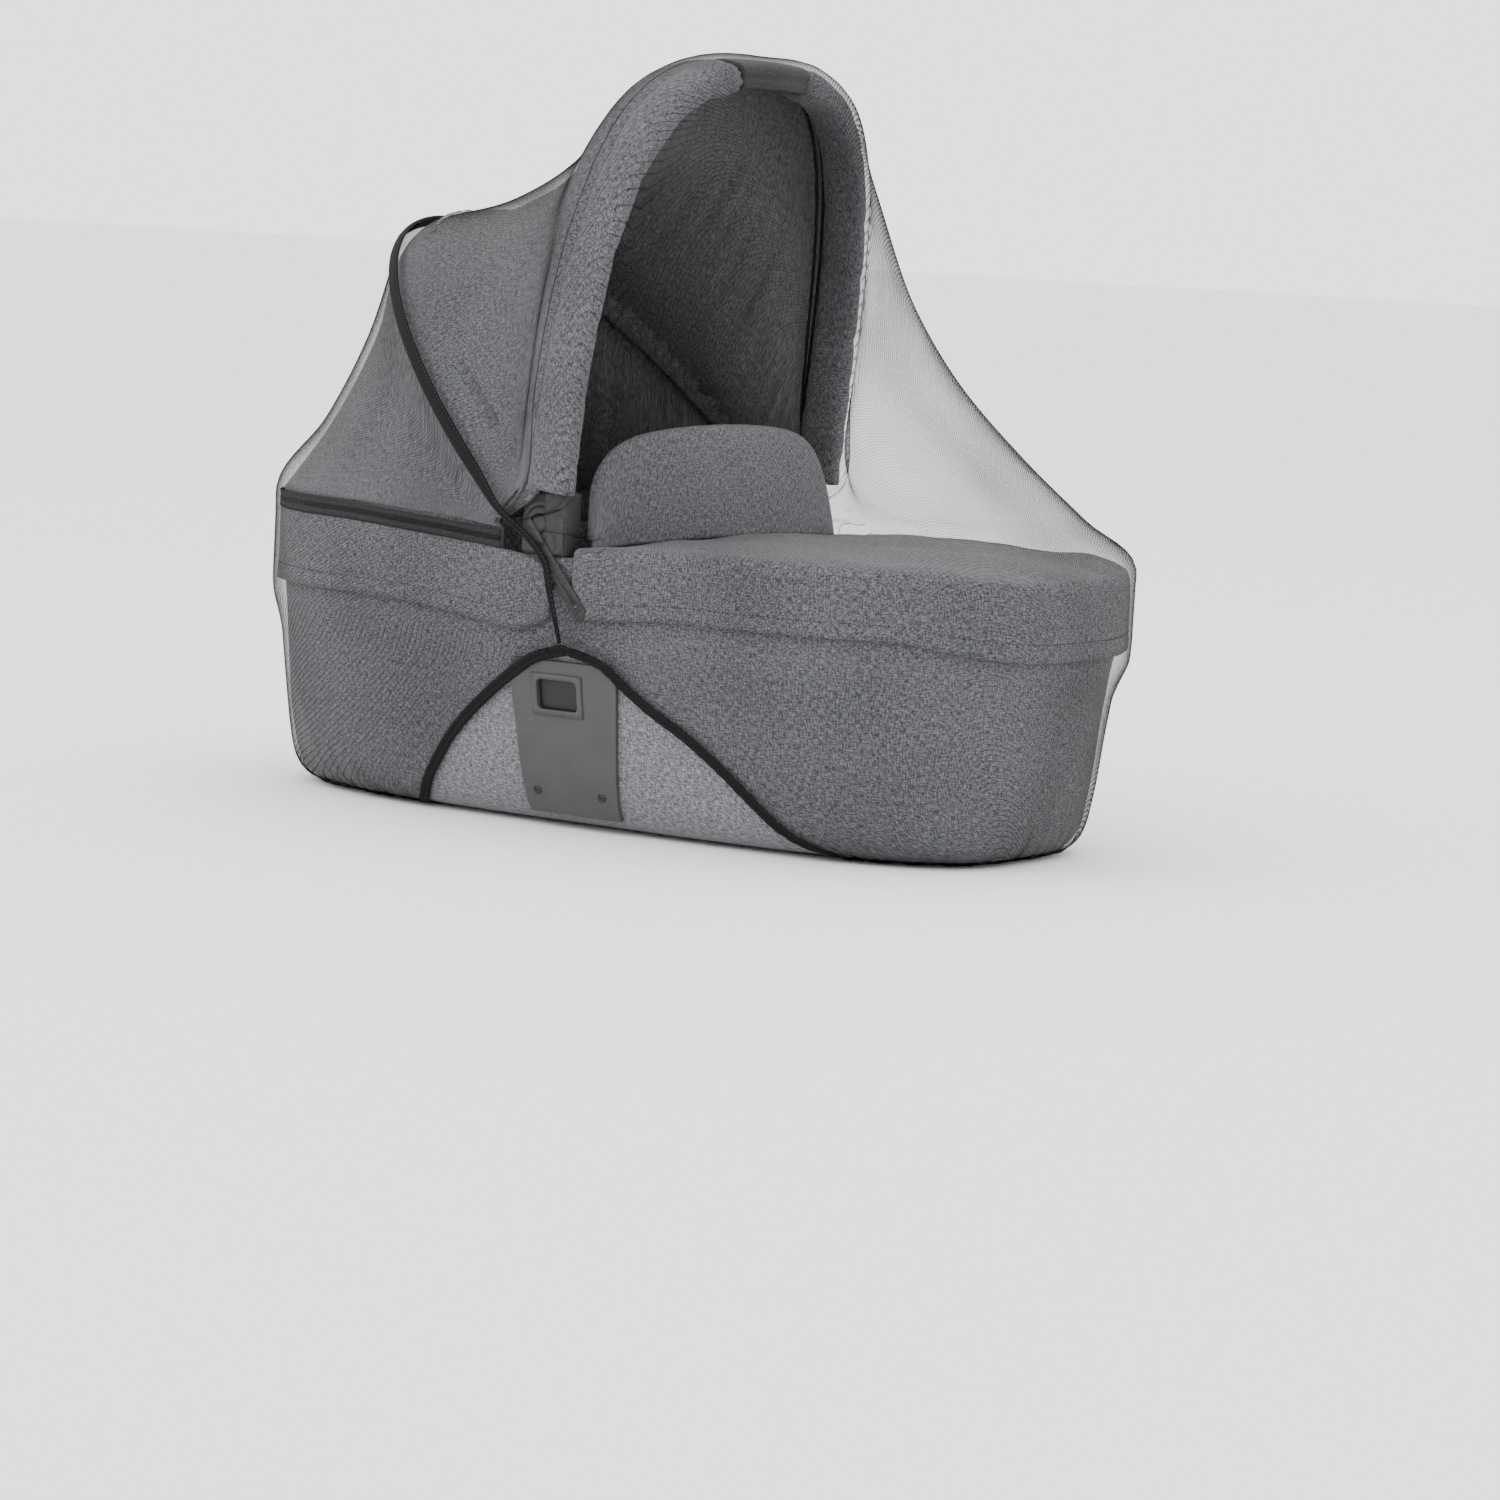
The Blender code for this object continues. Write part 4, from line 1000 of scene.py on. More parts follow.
def tape_material(name, color, rib):
    """Elastic tape: fine cross ribs with a soft sheen."""
    made = Nodes(name, color, 0.82)
    ribs = made.wave(made.uv((1.0, 1.0, 1.0)), rib, 0.3, "X")
    fuzz = made.noise(made.uv((700.0, 700.0, 1.0)), 1.0, 3.0)
    made.color(made.ramp(fuzz, ((0.3, scaled(color, 0.6)), (0.75, scaled(color, 1.9)))))
    made.bump(made.math("ADD", ribs, fuzz), 0.0004, 0.8)
    made.shader.inputs["Specular IOR Level"].default_value = 0.12
    return made.material


def zip_material(name, tape, coil):
    """Zip tape with a darker coil along its middle and a fine herringbone."""
    made = Nodes(name, tape, 0.75)
    split = made.add("ShaderNodeSeparateXYZ", Vector=made.uv((1.0, 1.0, 1.0)))
    off = made.math("ABSOLUTE", made.math("SUBTRACT", split.outputs[1], ZIP_HEIGHT * 0.0005))
    on_coil = made.math("MULTIPLY", made.math("SUBTRACT", 0.0028, off), 1500.0, clamp=True)
    teeth = made.wave(made.uv((1.0, 1.0, 1.0)), 0.0018, 0.0, "X")
    weave = made.wave(made.uv((1.0, 1.0, 1.0), 0.7), 0.001, 0.6, "X")
    grain = made.noise(made.uv((900.0, 900.0, 1.0)), 1.0, 2.0)
    base = made.ramp(grain, ((0.3, scaled(tape, 0.75)), (0.7, scaled(tape, 1.3))))
    made.color(made.mix(on_coil, base, coil))
    height = made.math("ADD", made.math("MULTIPLY", teeth, on_coil), made.math("MULTIPLY", weave, 0.35))
    made.bump(height, 0.0007, 0.8)
    return made.material


def plastic_material(name, color, roughness, grain):
    """Moulded plastic: fine spark grain, faint mottling, scuffs that change the gloss."""
    made = Nodes(name, color, roughness)
    mottle = made.noise(made.place((40.0, 40.0, 40.0)), 1.0, 4.0)
    made.color(made.ramp(mottle, ((0.3, scaled(color, 0.93)), (0.7, scaled(color, 1.07)))))
    spark = made.noise(made.place((grain, grain, grain)), 1.0, 2.0)
    scuff = made.noise(made.place((60.0, 60.0, 60.0)), 1.0, 3.0, 0.6)
    rough = made.math("ADD", made.math("MULTIPLY", scuff, 0.2), roughness - 0.1)
    made.tree.links.new(rough, made.shader.inputs["Roughness"])
    made.bump(spark, 0.00015, 0.2)
    return made.material


# Sizes and colours that a user would change


class NetSettings(bpy.types.PropertyGroup):
    """The net and its elastic tape."""

    thread: bpy.props.FloatVectorProperty(
        name="Thread colour", description="Colour of the net's thread", size=3,
        default=(0.008, 0.008, 0.0085), min=0.0, max=1.0, subtype="COLOR",
    )
    coverage: bpy.props.FloatProperty(
        name="Coverage", description="Share of the net that is thread, seen face on",
        default=0.19, min=0.02, max=0.9, subtype="FACTOR",
    )
    pitch: bpy.props.FloatProperty(
        name="Mesh pitch", description="Distance between the net's thread lines",
        default=0.0023, min=0.0005, max=0.004, unit="LENGTH",
    )
    tape: bpy.props.FloatVectorProperty(
        name="Tape colour", description="Colour of the elastic bindings", size=3,
        default=(0.006, 0.006, 0.0065), min=0.0, max=1.0, subtype="COLOR",
    )


class ClothSettings(bpy.types.PropertyGroup):
    """The carrycot's heather cloth."""

    outer: bpy.props.FloatVectorProperty(
        name="Outer cloth", description="Middle tone of the heather cloth", size=3,
        default=(0.118, 0.121, 0.129), min=0.0, max=1.0, subtype="COLOR",
    )
    lining: bpy.props.FloatVectorProperty(
        name="Lining", description="Colour of the hood's inside", size=3,
        default=(0.1, 0.1, 0.104), min=0.0, max=1.0, subtype="COLOR",
    )
    contrast: bpy.props.FloatProperty(
        name="Fleck contrast", description="How far the light and dark slubs differ",
        default=0.62, min=0.0, max=1.0, subtype="FACTOR",
    )


class TrimSettings(bpy.types.PropertyGroup):
    """Zip and moulded parts."""

    tape: bpy.props.FloatVectorProperty(
        name="Zip tape", description="Colour of the zip's tape", size=3,
        default=(0.036, 0.032, 0.034), min=0.0, max=1.0, subtype="COLOR",
    )
    plastic: bpy.props.FloatVectorProperty(
        name="Plastic", description="Colour of the moulded parts", size=3,
        default=(0.05, 0.05, 0.051), min=0.0, max=1.0, subtype="COLOR",
    )


class StageSettings(bpy.types.PropertyGroup):
    """Floor, light and camera."""

    floor: bpy.props.FloatVectorProperty(
        name="Floor colour", description="Colour of the floor", size=3,
        default=(0.86, 0.86, 0.86), min=0.0, max=1.0, subtype="COLOR",
    )
    sky: bpy.props.FloatProperty(
        name="Sky light", description="Strength of the even light from all round",
        default=2.3, min=0.0, max=5.0,
    )
    lens: bpy.props.FloatProperty(
        name="Lens", description="Focal length on a 36 mm sensor",
        default=114.06, min=10.0, max=400.0, unit="CAMERA",
    )


MATERIALS = {}


def finish_named(key):
    """The object's finishes, each made once."""
    scene = bpy.context.scene
    net, cloth, trim = scene.carrycot_net, scene.carrycot_cloth, scene.carrycot_trim
    makers = {
        "net": lambda: net_material("black net", tuple(net.thread), net.coverage, net.pitch),
        "tape": lambda: tape_material("black elastic tape", tuple(net.tape), 0.0016),
        "outer": lambda: melange_material("heather cloth", tuple(cloth.outer), cloth.contrast, 0.12),
        "lining": lambda: melange_material("dark lining", tuple(cloth.lining), 0.5, 0.1),
        "piping": lambda: tape_material("grey piping", scaled(tuple(cloth.outer), 0.45), 0.0012),
        "seam": lambda: tape_material("heather seam", scaled(tuple(cloth.outer), 0.8), 0.0012),
        "thread": lambda: tape_material("dark thread", scaled(tuple(cloth.outer), 0.3), 0.0006),
        "zip": lambda: zip_material("zip", tuple(trim.tape), scaled(tuple(trim.tape), 0.35)),
        "plastic": lambda: plastic_material("grey plastic", tuple(trim.plastic), 0.48, 1500.0),
        # Dark plastic for the screws; the same finish is painted shade in the pivot caps' grooves and the adapter
        # plates' slots
        "dark plastic and painted shade": lambda: plastic_material("dark plastic and painted shade", scaled(tuple(trim.plastic), 0.3), 0.5, 1500.0),
    }
    if key not in MATERIALS:
        MATERIALS[key] = makers[key]()
    return MATERIALS[key]


class BuildStep:
    """What the object's operators share: run the step."""

    bl_options = {"REGISTER"}

    def execute(self, context):
        self.build(context.scene)
        return {"FINISHED"}


def hem_gathers(grid, down, across, seed):
    """Small pleats that grow towards the hem, flat on the underside."""
    low = np.clip(1.0 - (grid[..., 2] - 4.0) / 46.0, 0.0, 1.0) * np.clip((grid[..., 2] - 1.5) / 5.0, 0.12, 1.0)
    pleat = np.sin(across / 3.1 + 2.2 * soft_noise(across, down, 60.0, seed))
    return low * (0.9 * pleat + 0.5 * soft_noise(across, down * 0.3, 25.0, seed + 1))


class NET_OT_panels(BuildStep, bpy.types.Operator):
    """Lay the two net panels on their solids, with soft creases and a gathered hem"""

    bl_idname = "carrycot.net_panels"
    bl_label = "Net panels"

    def build(self, scene):
        for node, rows, seed in (
            ("net_head_panel", head_net_rows(), 11),
            ("net_front_panel", front_net_rows(), 12),
        ):
            grid = refine_both(np.array(rows), 5.0, 7.0)
            across, down = grid_lengths(grid)
            crease = 0.5 * soft_noise(across, down * 0.4, 90.0, seed)
            low_wall = np.clip((150.0 - grid[..., 2]) / 90.0, 0.0, 1.0)
            slant = across * 0.9 + down * 0.45
            crease -= 1.5 * low_wall * troughs(slant, 95.0, 6.0, seed + 2)
            from_apex = np.hypot(grid[..., 0] - APEX[0], grid[..., 2] - APEX[1])
            spread = np.arctan2(grid[..., 2] - APEX[1], grid[..., 0] - APEX[0])
            near_apex = np.exp(-(((from_apex - 38.0) / 26.0) ** 2)) * (grid[..., 2] < APEX[1] + 40.0)
            crease += 0.9 * near_apex * np.sin(26.0 * spread + 0.05 * from_apex)
            crease += hem_gathers(grid, down, across, seed + 3)
            edge = np.minimum(np.arange(grid.shape[1]), np.arange(grid.shape[1])[::-1])
            crease *= np.clip(edge / 3.0, 0.0, 1.0)[None, :]
            sheet = move_out(grid, 1.0 + crease)
            sheet[..., 2] = np.maximum(sheet[..., 2], FLOOR_CLEARANCE)
            piece = grid_object(f"{node}_cloth", sheet, finish_named("net"))
            attach(piece, "net", node)
            declare_sheet(grid)


class NET_OT_bindings(BuildStep, bpy.types.Operator):
    """Sew the double-ridged elastic tape round the arches, the hem and the panels' joint"""

    bl_idname = "carrycot.net_bindings"
    bl_label = "Elastic bindings"

    def build(self, scene):
        tape = finish_named("tape")
        for node, end, seed in (("head_binding", -1, 21), ("foot_binding", 1, 22)):
            lines = refine(edge_binding_rows(end), 1, 3.0)
            grid = np.array([lines[0] + (lines[1] - lines[0]) * share for share, _ in TAPE_SECTION])
            across, down = grid_lengths(grid)
            lift = np.array([height for _, height in TAPE_SECTION])[:, None]
            flat = np.clip((grid[..., 2] - 3.0) / 12.0, 0.25, 1.0)
            ripple = 0.35 * np.sin(across / 1.9 + soft_noise(across, down, 30.0, seed)) * flat
            lifted = move_out(grid, np.minimum(lift * flat, lift) + ripple * (lift > 0.6))
            lifted[..., 2] = np.maximum(lifted[..., 2], 4 * FLOOR_CLEARANCE)
            piece = thicken(grid_object(f"{node}_tape", lifted, tape), 0.7)
            attach(piece, "binding", node)
        lines = refine(ridge_binding_rows(), 1, 3.0)
        rows = []
        for share, height in TAPE_SECTION:
            side = lines[0] if share < 0.5 else lines[2]
            rows.append(lines[1] + (side - lines[1]) * abs(share - 0.5) * 2)
        grid = np.array(rows)
        lift = np.array([height for _, height in TAPE_SECTION])[:, None]
        crown = np.clip(1.0 - np.abs(np.linspace(-1, 1, len(rows)))[:, None], 0, 1) * 1.5
        piece = thicken(grid_object("ridge_seam_tape", move_out(grid, 1.8 + lift + crown), tape), 0.8)
        attach(piece, "binding", "ridge_seam_binding")
        seams = [move_out(grid, 2.2 + lift + crown)[row][6:-6] for row in (2, len(rows) - 3)]
        attach(stitches("ridge_seam_stitches", seams, finish_named("thread")), "binding")


class NET_OT_hood(BuildStep, bpy.types.Operator):
    """Stretch the hood's cloth over both bows, with its lining, seams and zip"""

    bl_idname = "carrycot.hood"
    bl_label = "Hood, lining and zip"

    def build(self, scene):
        rows = np.array(canopy_rows())
        lap = rows[:1] + bow_normal(FRONT_BOW) * HOOD_LAP
        grid = refine_both(np.concatenate((lap, rows)), 7.0, 7.0)
        across, down = grid_lengths(grid)
        ease = 0.6 * soft_noise(across, down, 110.0, 31) - 1.6 * troughs(across + down * 1.6, 120.0, 14.0, 32)
        depth = np.interp(down, (0.0, 30.0, 70.0, 140.0), (-0.9, 0.0, -1.2, -3.0))
        ease = np.minimum(ease, 0.2) * np.clip(down / 30.0, 0.0, 1.0) + depth
        shell = move_out(grid, ease)
        outer = thicken(grid_object("hood_cloth", shell, finish_named("outer")), 1.2)
        attach(outer, "melange", "hood_canopy")
        declare_sheet(grid)
        low = grid[-1:] - np.array((0.0, 0.0, LINING_DROP))
        inside = np.concatenate((grid, (grid[-1:] + low) / 2, low))
        across, down = grid_lengths(inside)
        slant = across * 0.87 - down * 0.49
        fold = 6.0 - 9.0 * troughs(slant, 44.0, 6.5, 33) + 7.0 * troughs(slant + 14.0, 44.0, 10.0, 33)
        fold += 3.0 * troughs(slant * 0.9 + across * 0.3, 30.0, 4.5, 34)
        room = np.clip((down - 12.0) / 40.0, 0.0, 1.0)
        room = room * np.clip((down[-1][None, :] - LINING_DROP - down) / 40.0, 0.0, 1.0)
        edge = np.minimum(np.arange(grid.shape[1]), np.arange(grid.shape[1])[::-1])
        room = room * np.clip(edge / 8.0, 0.0, 1.0)[None, :]
        ripple = np.abs(soft_noise(across, down, 45.0, 35)) * 1.2
        inner = move_out(inside, -4.4 - np.maximum(fold + ripple, 0.0) * room)
        lining = thicken(grid_object("hood_lining", inner, finish_named("lining")), 0.6, 1.0)
        attach(lining, "sleeve")
        declare_sheet(inside)
        seam = line_along(shell, down[:-2], HOOD_LAP + 4.0)
        attach(cord_along("hood_band_seam", seam[3:-3], 0.55, finish_named("piping")), "melange")
        for number, place in enumerate((HOOD_LAP + 1.0, HOOD_LAP + 8.0)):
            line = line_along(inner, down, place)[4:-4]
            attach(cord_along(f"lining_edge_{number}", line, 1.5, finish_named("tape")), "sleeve")
        rows = refine(zip_rows(), 1, 7.0)
        zip_tape = thicken(grid_object("hood_zip_tape", rows, finish_named("zip")), 0.9)
        attach(zip_tape, "zip", "hood_zip")
        lines = [move_out(rows, 0.35)[row][2:-2] for row in (1, len(rows) - 2)]
        attach(stitches("hood_zip_stitches", lines, finish_named("thread"), 3.6, 2.4), "zip")


class NET_OT_bows(BuildStep, bpy.types.Operator):
    """Wrap the front bow's cloth rolls, its grip and the gathered sleeve of the rear bow"""

    bl_idname = "carrycot.bows"
    bl_label = "Bows and grip"

    def build(self, scene):
        normal = bow_normal(FRONT_BOW)
        grip_edge = angle_at_width(FRONT_BOW, GRIP_HALF_LENGTH)
        for label, first, last, seed in (
            ("near", 0.5, grip_edge, 41),
            ("far", 180.0 - 0.5, 180.0 - grip_edge, 42),
        ):
            centres, leads = arch_points(FRONT_BOW, 0.0, 0.0, first, last, 110)
            path = np.linspace(0.0, 1.0, len(centres))[:, None] * 530.0
            left = 530.0 - path
            round_it = np.linspace(0, 2 * math.pi, 49)[None, :]
            pleats = np.cos(15 * round_it + 1.5 * np.sin(3 * round_it + seed)) * np.exp(-left / 22.0)
            bulge = 0.2 * np.exp(-(((left - 24.0) / 17.0) ** 2)) - 0.3 * np.exp(-left / 6.0)
            wrinkle = 0.025 * soft_noise(path, round_it * 30.0, 60.0, seed)
            creases = 0.09 * troughs(path + 9.0 * np.cos(round_it), 62.0, 6.0, seed + 5)
            flare = ROLL_FLARE * np.clip(1.0 - (centres[:, 2:] - centres[:, 2].min()) / 160.0, 0.0, 1.0)
            swell = 1.0 + flare + bulge + 0.07 * pleats + wrinkle - creases
            swell[:, -1] = swell[:, 0]
            deeper = 1.0 + 0.16 * np.clip((path - 330.0) / 120.0, 0.0, 1.0) - 0.12 * bulge
            inward = np.cross(leads, normal)
            side = np.sign(np.sum(inward[-1] * (centres[-1] - centres[0])))
            centres = centres - inward * side * 12.0 * (deeper - 1.0)
            grid = tube_grid(centres, leads, normal, ROLL_HALF_WIDTH * swell, ROLL_HALF_DEPTH * swell * deeper, 48, 2.5)
            roll = grid_object(f"front_bow_cloth_{label}", cap_ends(grid, 1.5), finish_named("outer"), wrap=True)
            attach(roll, "melange", f"front_bow_roll_{label}")
            for number, column in enumerate((20, 28)):
                line = grid[4:-6, column]
                attach(cord_along(f"front_bow_seam_{label}_{number}", line, 0.5, finish_named("seam")), "melange")
        start = angle_at_width(FRONT_BOW, GRIP_HALF_LENGTH - 2 * SEAT_GAP)
        centres, leads = arch_points(FRONT_BOW, 0.0, 0.0, start, 180.0 - start, 40)
        round_it = np.linspace(0, 2 * math.pi, 65)[None, :]
        groove = 1.0 - 0.09 * np.exp(-((np.sin(round_it) / 0.05) ** 2)) + 0 * centres[:, :1]
        grid = tube_grid(centres, leads, normal, GRIP_HALF_WIDTH * groove, GRIP_DEPTH * groove, 64, 3.2)
        grip = grid_object("bow_grip_moulding", cap_ends(grid, 0.8), finish_named("plastic"), wrap=True)
        attach(grip, "plastic", "bow_grip")
        normal = bow_normal(REAR_BOW)
        centres, leads = arch_points(REAR_BOW, -16.5, 20.0, 3.0, 177.0, 320)
        path = np.linspace(0.0, 1.0, len(centres))[:, None] * 900.0
        round_it = np.linspace(0, 2 * math.pi, 33)[None, :]
        ruffle = 1.0 + 0.34 * np.sin(path / 1.9 + 2.0 * soft_noise(path, round_it * 2.0, 40.0, 44))
        ruffle = ruffle + 0.12 * soft_noise(path, round_it * 6.0, 28.0, 45)
        ruffle[:, -1] = ruffle[:, 0]
        grid = tube_grid(centres, leads, normal, 12.0 + 1.5 * ruffle, 4.6 * ruffle, 32, 2.4)
        sleeve = grid_object("rear_bow_ruffle", cap_ends(grid, 2.0), finish_named("lining"), wrap=True)
        attach(sleeve, "sleeve", "rear_bow_sleeve")


class NET_OT_body(BuildStep, bpy.types.Operator):
    """Cover the body and hang the skirt of cloth below the zip"""

    bl_idname = "carrycot.body"
    bl_label = "Body and head band"

    def build(self, scene):
        grid = refine(tub_rows(), 0, 9.0)
        across, down = grid_lengths(grid)
        settle = 0.45 * soft_noise(np.cos(across / 250.0) * 300, down, 120.0, 51)
        settle *= np.clip((grid[..., 2] - 6.0) / 30.0, 0.0, 1.0)
        settle[:, -1] = settle[:, 0]
        moved = move_out(grid, settle, (0.0, 0.0, 160.0))
        moved[:, -1] = moved[:, 0]
        tub = grid_object("body_cloth", moved, finish_named("outer"), (0.0, 0.0, 160.0), floor_hole=True)
        solid = thicken(tub, TUB_WALL)
        attach(solid, "melange", "tub")
        coarse = band_rows()
        grid = refine_both(coarse, 6.0, 6.0)
        across, down = grid_lengths(grid)
        ease = 0.5 * soft_noise(across, down, 100.0, 52) - 0.5
        ease -= 0.8 * troughs(across + 0.4 * down, 120.0, 8.0, 53) * np.clip(down / 30.0, 0, 1)
        ease += 0.8 * np.clip((down - down[-1][None, :] + 14.0) / 3.0, 0.0, 1.0)
        band = thicken(grid_object("head_band_cloth", move_out(grid, ease), finish_named("outer")), 2.4)
        attach(band, "melange", "head_band")
        hem = move_out(grid, ease + 0.25)[-3][3:-3]
        sewn = stitches("head_band_stitches", [hem], finish_named("thread"))
        attach(sewn, "melange")
        declare_sheet(grid)


class NET_OT_foot(BuildStep, bpy.types.Operator):
    """Make the soft foot cover with its skirt, and the padded wind flap"""

    bl_idname = "carrycot.foot"
    bl_label = "Foot cover and wind flap"

    def build(self, scene):
        grid = refine_both(apron_rows(), 6.0, 6.0)
        across, down = grid_lengths(grid)
        top = np.clip((down - 62.0) / 20.0, 0.0, 1.0)
        edge = np.exp(-(((down - 84.0) / 20.0) ** 2))
        ease = 0.7 * soft_noise(across, down, 100.0, 61) * (1 - top)
        ease += top * 1.6 * soft_noise(grid[..., 0], grid[..., 1], 95.0, 62) - 0.9 * top
        ease -= 3.2 * edge * troughs(across, 46.0, 12.0, 63)
        ease += 0.8 * np.clip((14.0 - down) / 3.0, 0.0, 1.0)
        ease -= 0.9 * troughs(across + 0.5 * down, 130.0, 9.0, 64) * (1 - top)
        cover = thicken(grid_object("foot_cover_cloth", move_out(grid, ease, FOOT_MIDDLE), finish_named("outer"), FOOT_MIDDLE), 2.4)
        attach(cover, "melange", "foot_apron")
        hem = move_out(grid, ease + 0.25, FOOT_MIDDLE)[2][3:-3]
        sewn = stitches("foot_cover_stitches", [hem], finish_named("thread"))
        attach(sewn, "melange")
        declare_sheet(grid)
        places = np.sin(np.linspace(-0.5, 0.5, 90) * math.pi)
        heights = np.linspace(0.0, 1.0, 30)
        front = np.empty((len(heights), len(places), 3))
        for row, share in enumerate(heights):
            for col, place in enumerate(places):
                y = FLAP_PAD_WIDTH * place * (1.0 - 0.05 * share)
                height = FLAP_HEIGHT * (0.9 + 0.1 * (1 - place**2)) * (1 - abs(place) ** 7) ** (1 / 4)
                x = 30.0 + 14.0 * (1 - place**2) - 12.0 * share**2
                front[row, col] = (x - FLAP_THICKNESS / 2, y, apron_crown(x, y) - 1.0 + height * share)
        rim = np.minimum((1 - np.abs(places)[None, :]) * 1.6, (1 - heights[:, None]) * 0.8)
        swell = np.sqrt(np.clip(rim / 0.14, 0.0, 1.0) * (2 - np.clip(rim / 0.14, 0.0, 1.0)))
        across, down = grid_lengths(front)
        dent = 1.35 - 0.3 * troughs(across + down, 70.0, 14.0, 65) + 0.08 * soft_noise(across, down, 60.0, 66)
        half = FLAP_THICKNESS / 2 * swell * dent
        sides = [front + np.stack((way * half, 0 * half, 0 * half), 2) for way in (-1.0, 1.0)]
        loop = np.concatenate((sides[0], sides[1][::-1]))
        flap = grid_object("wind_flap_pad", np.concatenate((loop, loop[:1])), finish_named("outer"), wrap=True)
        attach(flap, "melange", "wind_flap")


def spun_disc(bm, profile, centre, side, steps=48):
    """Spin a section of (radius, height) points into a stepped disc facing outwards."""
    verts = [bm.verts.new((radius * 0.001, 0.0, height * 0.001)) for radius, height in profile]
    edges = [bm.edges.new(pair) for pair in zip(verts, verts[1:])]
    bmesh.ops.spin(
        bm, geom=verts + edges, cent=(0, 0, 0), axis=(0, 0, 1), dvec=(0, 0, 0),
        angle=2 * math.pi, steps=steps, use_merge=True, use_duplicate=False,
    )
    found = {v for v in verts if v.is_valid}
    for face in bm.faces:
        if any(v in found for v in face.verts):
            found.update(face.verts)
    seen = set(found)
    queue = list(found)
    while queue:
        for edge in queue.pop().link_edges:
            for vert in edge.verts:
                if vert not in seen:
                    seen.add(vert)
                    queue.append(vert)
    turn = Matrix.Rotation(math.radians(-90.0 * side), 4, "X")
    place = Matrix.Translation(Vector(centre) * 0.001)
    bmesh.ops.transform(bm, matrix=place @ turn, verts=list(seen))


def rounded_block(bm, low, high, radius, segments=3):
    """A block between two corners with all its edges rounded."""
    low = np.array(low, float) * 0.001
    high = np.array(high, float) * 0.001
    scale = Matrix.Diagonal((*(high - low), 1.0))
    made = bmesh.ops.create_cube(bm, size=1.0, matrix=Matrix.Translation(Vector((low + high) / 2)) @ scale)
    edges = {edge for vert in made["verts"] for edge in vert.link_edges}
    bmesh.ops.bevel(
        bm, geom=list(edges), offset=radius * 0.001, offset_type="OFFSET", affect="EDGES",
        segments=segments, profile=0.5, material=-1,
    )


def ordered(one, two):
    return min(one, two), max(one, two)


def cut_out(piece, cutter):
    """Cut one piece with another, which is then removed."""
    change = piece.modifiers.new("Cut", "BOOLEAN")
    change.operation = "DIFFERENCE"
    change.object = cutter
    change.solver = "EXACT"
    bpy.context.view_layer.update()
    cut = piece.evaluated_get(bpy.context.evaluated_depsgraph_get())
    mesh = bpy.data.meshes.new_from_object(cut)
    piece.modifiers.clear()
    piece.data = mesh
    bpy.data.objects.remove(cutter)
    return piece


class NET_OT_hinges(BuildStep, bpy.types.Operator):
    """Mould the pivot housings with their round caps, and the slanted fixing straps"""

    bl_idname = "carrycot.hinges"
    bl_label = "Pivots and straps"

    def build(self, scene):
        plastic = finish_named("plastic")
        for label, side in (("near", -1.0), ("far", 1.0)):
            bm = bmesh.new()
            y = ordered(side * PIVOT_Y[0], side * PIVOT_Y[1])
            rounded_block(bm, (PIVOT_X[0], y[0], PIVOT_Z[0]), (PIVOT_X[1], y[1], PIVOT_Z[1]), 3.0)
            lip = ordered(side * PIVOT_LIP_Y[0], side * PIVOT_LIP_Y[1])
            rounded_block(bm, (PIVOT_X[0] + 1, lip[0], PIVOT_LIP_Z[0]), (PIVOT_X[1] - 1, lip[1], PIVOT_LIP_Z[1]), 1.2)
            centre = (BUTTON_CENTRE[0], side * 199.2, BUTTON_CENTRE[2])
            for section in BUTTON_SECTIONS:
                spun_disc(bm, section, centre, side)
            spun_disc(bm, ARM_SECTION, (ARM_PLACE[0], side * ARM_PLACE[1], PIVOT_Z[0] + 1.0), 0.0)
            bmesh.ops.recalc_face_normals(bm, faces=bm.faces)
            attach(mesh_object(f"pivot_housing_{label}", bm, plastic, 35), "plastic", f"pivot_{label}")
            # A dark disc under the cap's rings: its floor in the grooves is painted shade
            bm = bmesh.new()
            spun_disc(bm, GROOVE_SECTION, centre, side)
            bmesh.ops.recalc_face_normals(bm, faces=bm.faces)
            attach(mesh_object(f"pivot_groove_painted_shade_{label}", bm, finish_named("dark plastic and painted shade"), 35), "plastic")
            strap_piece(label, side)


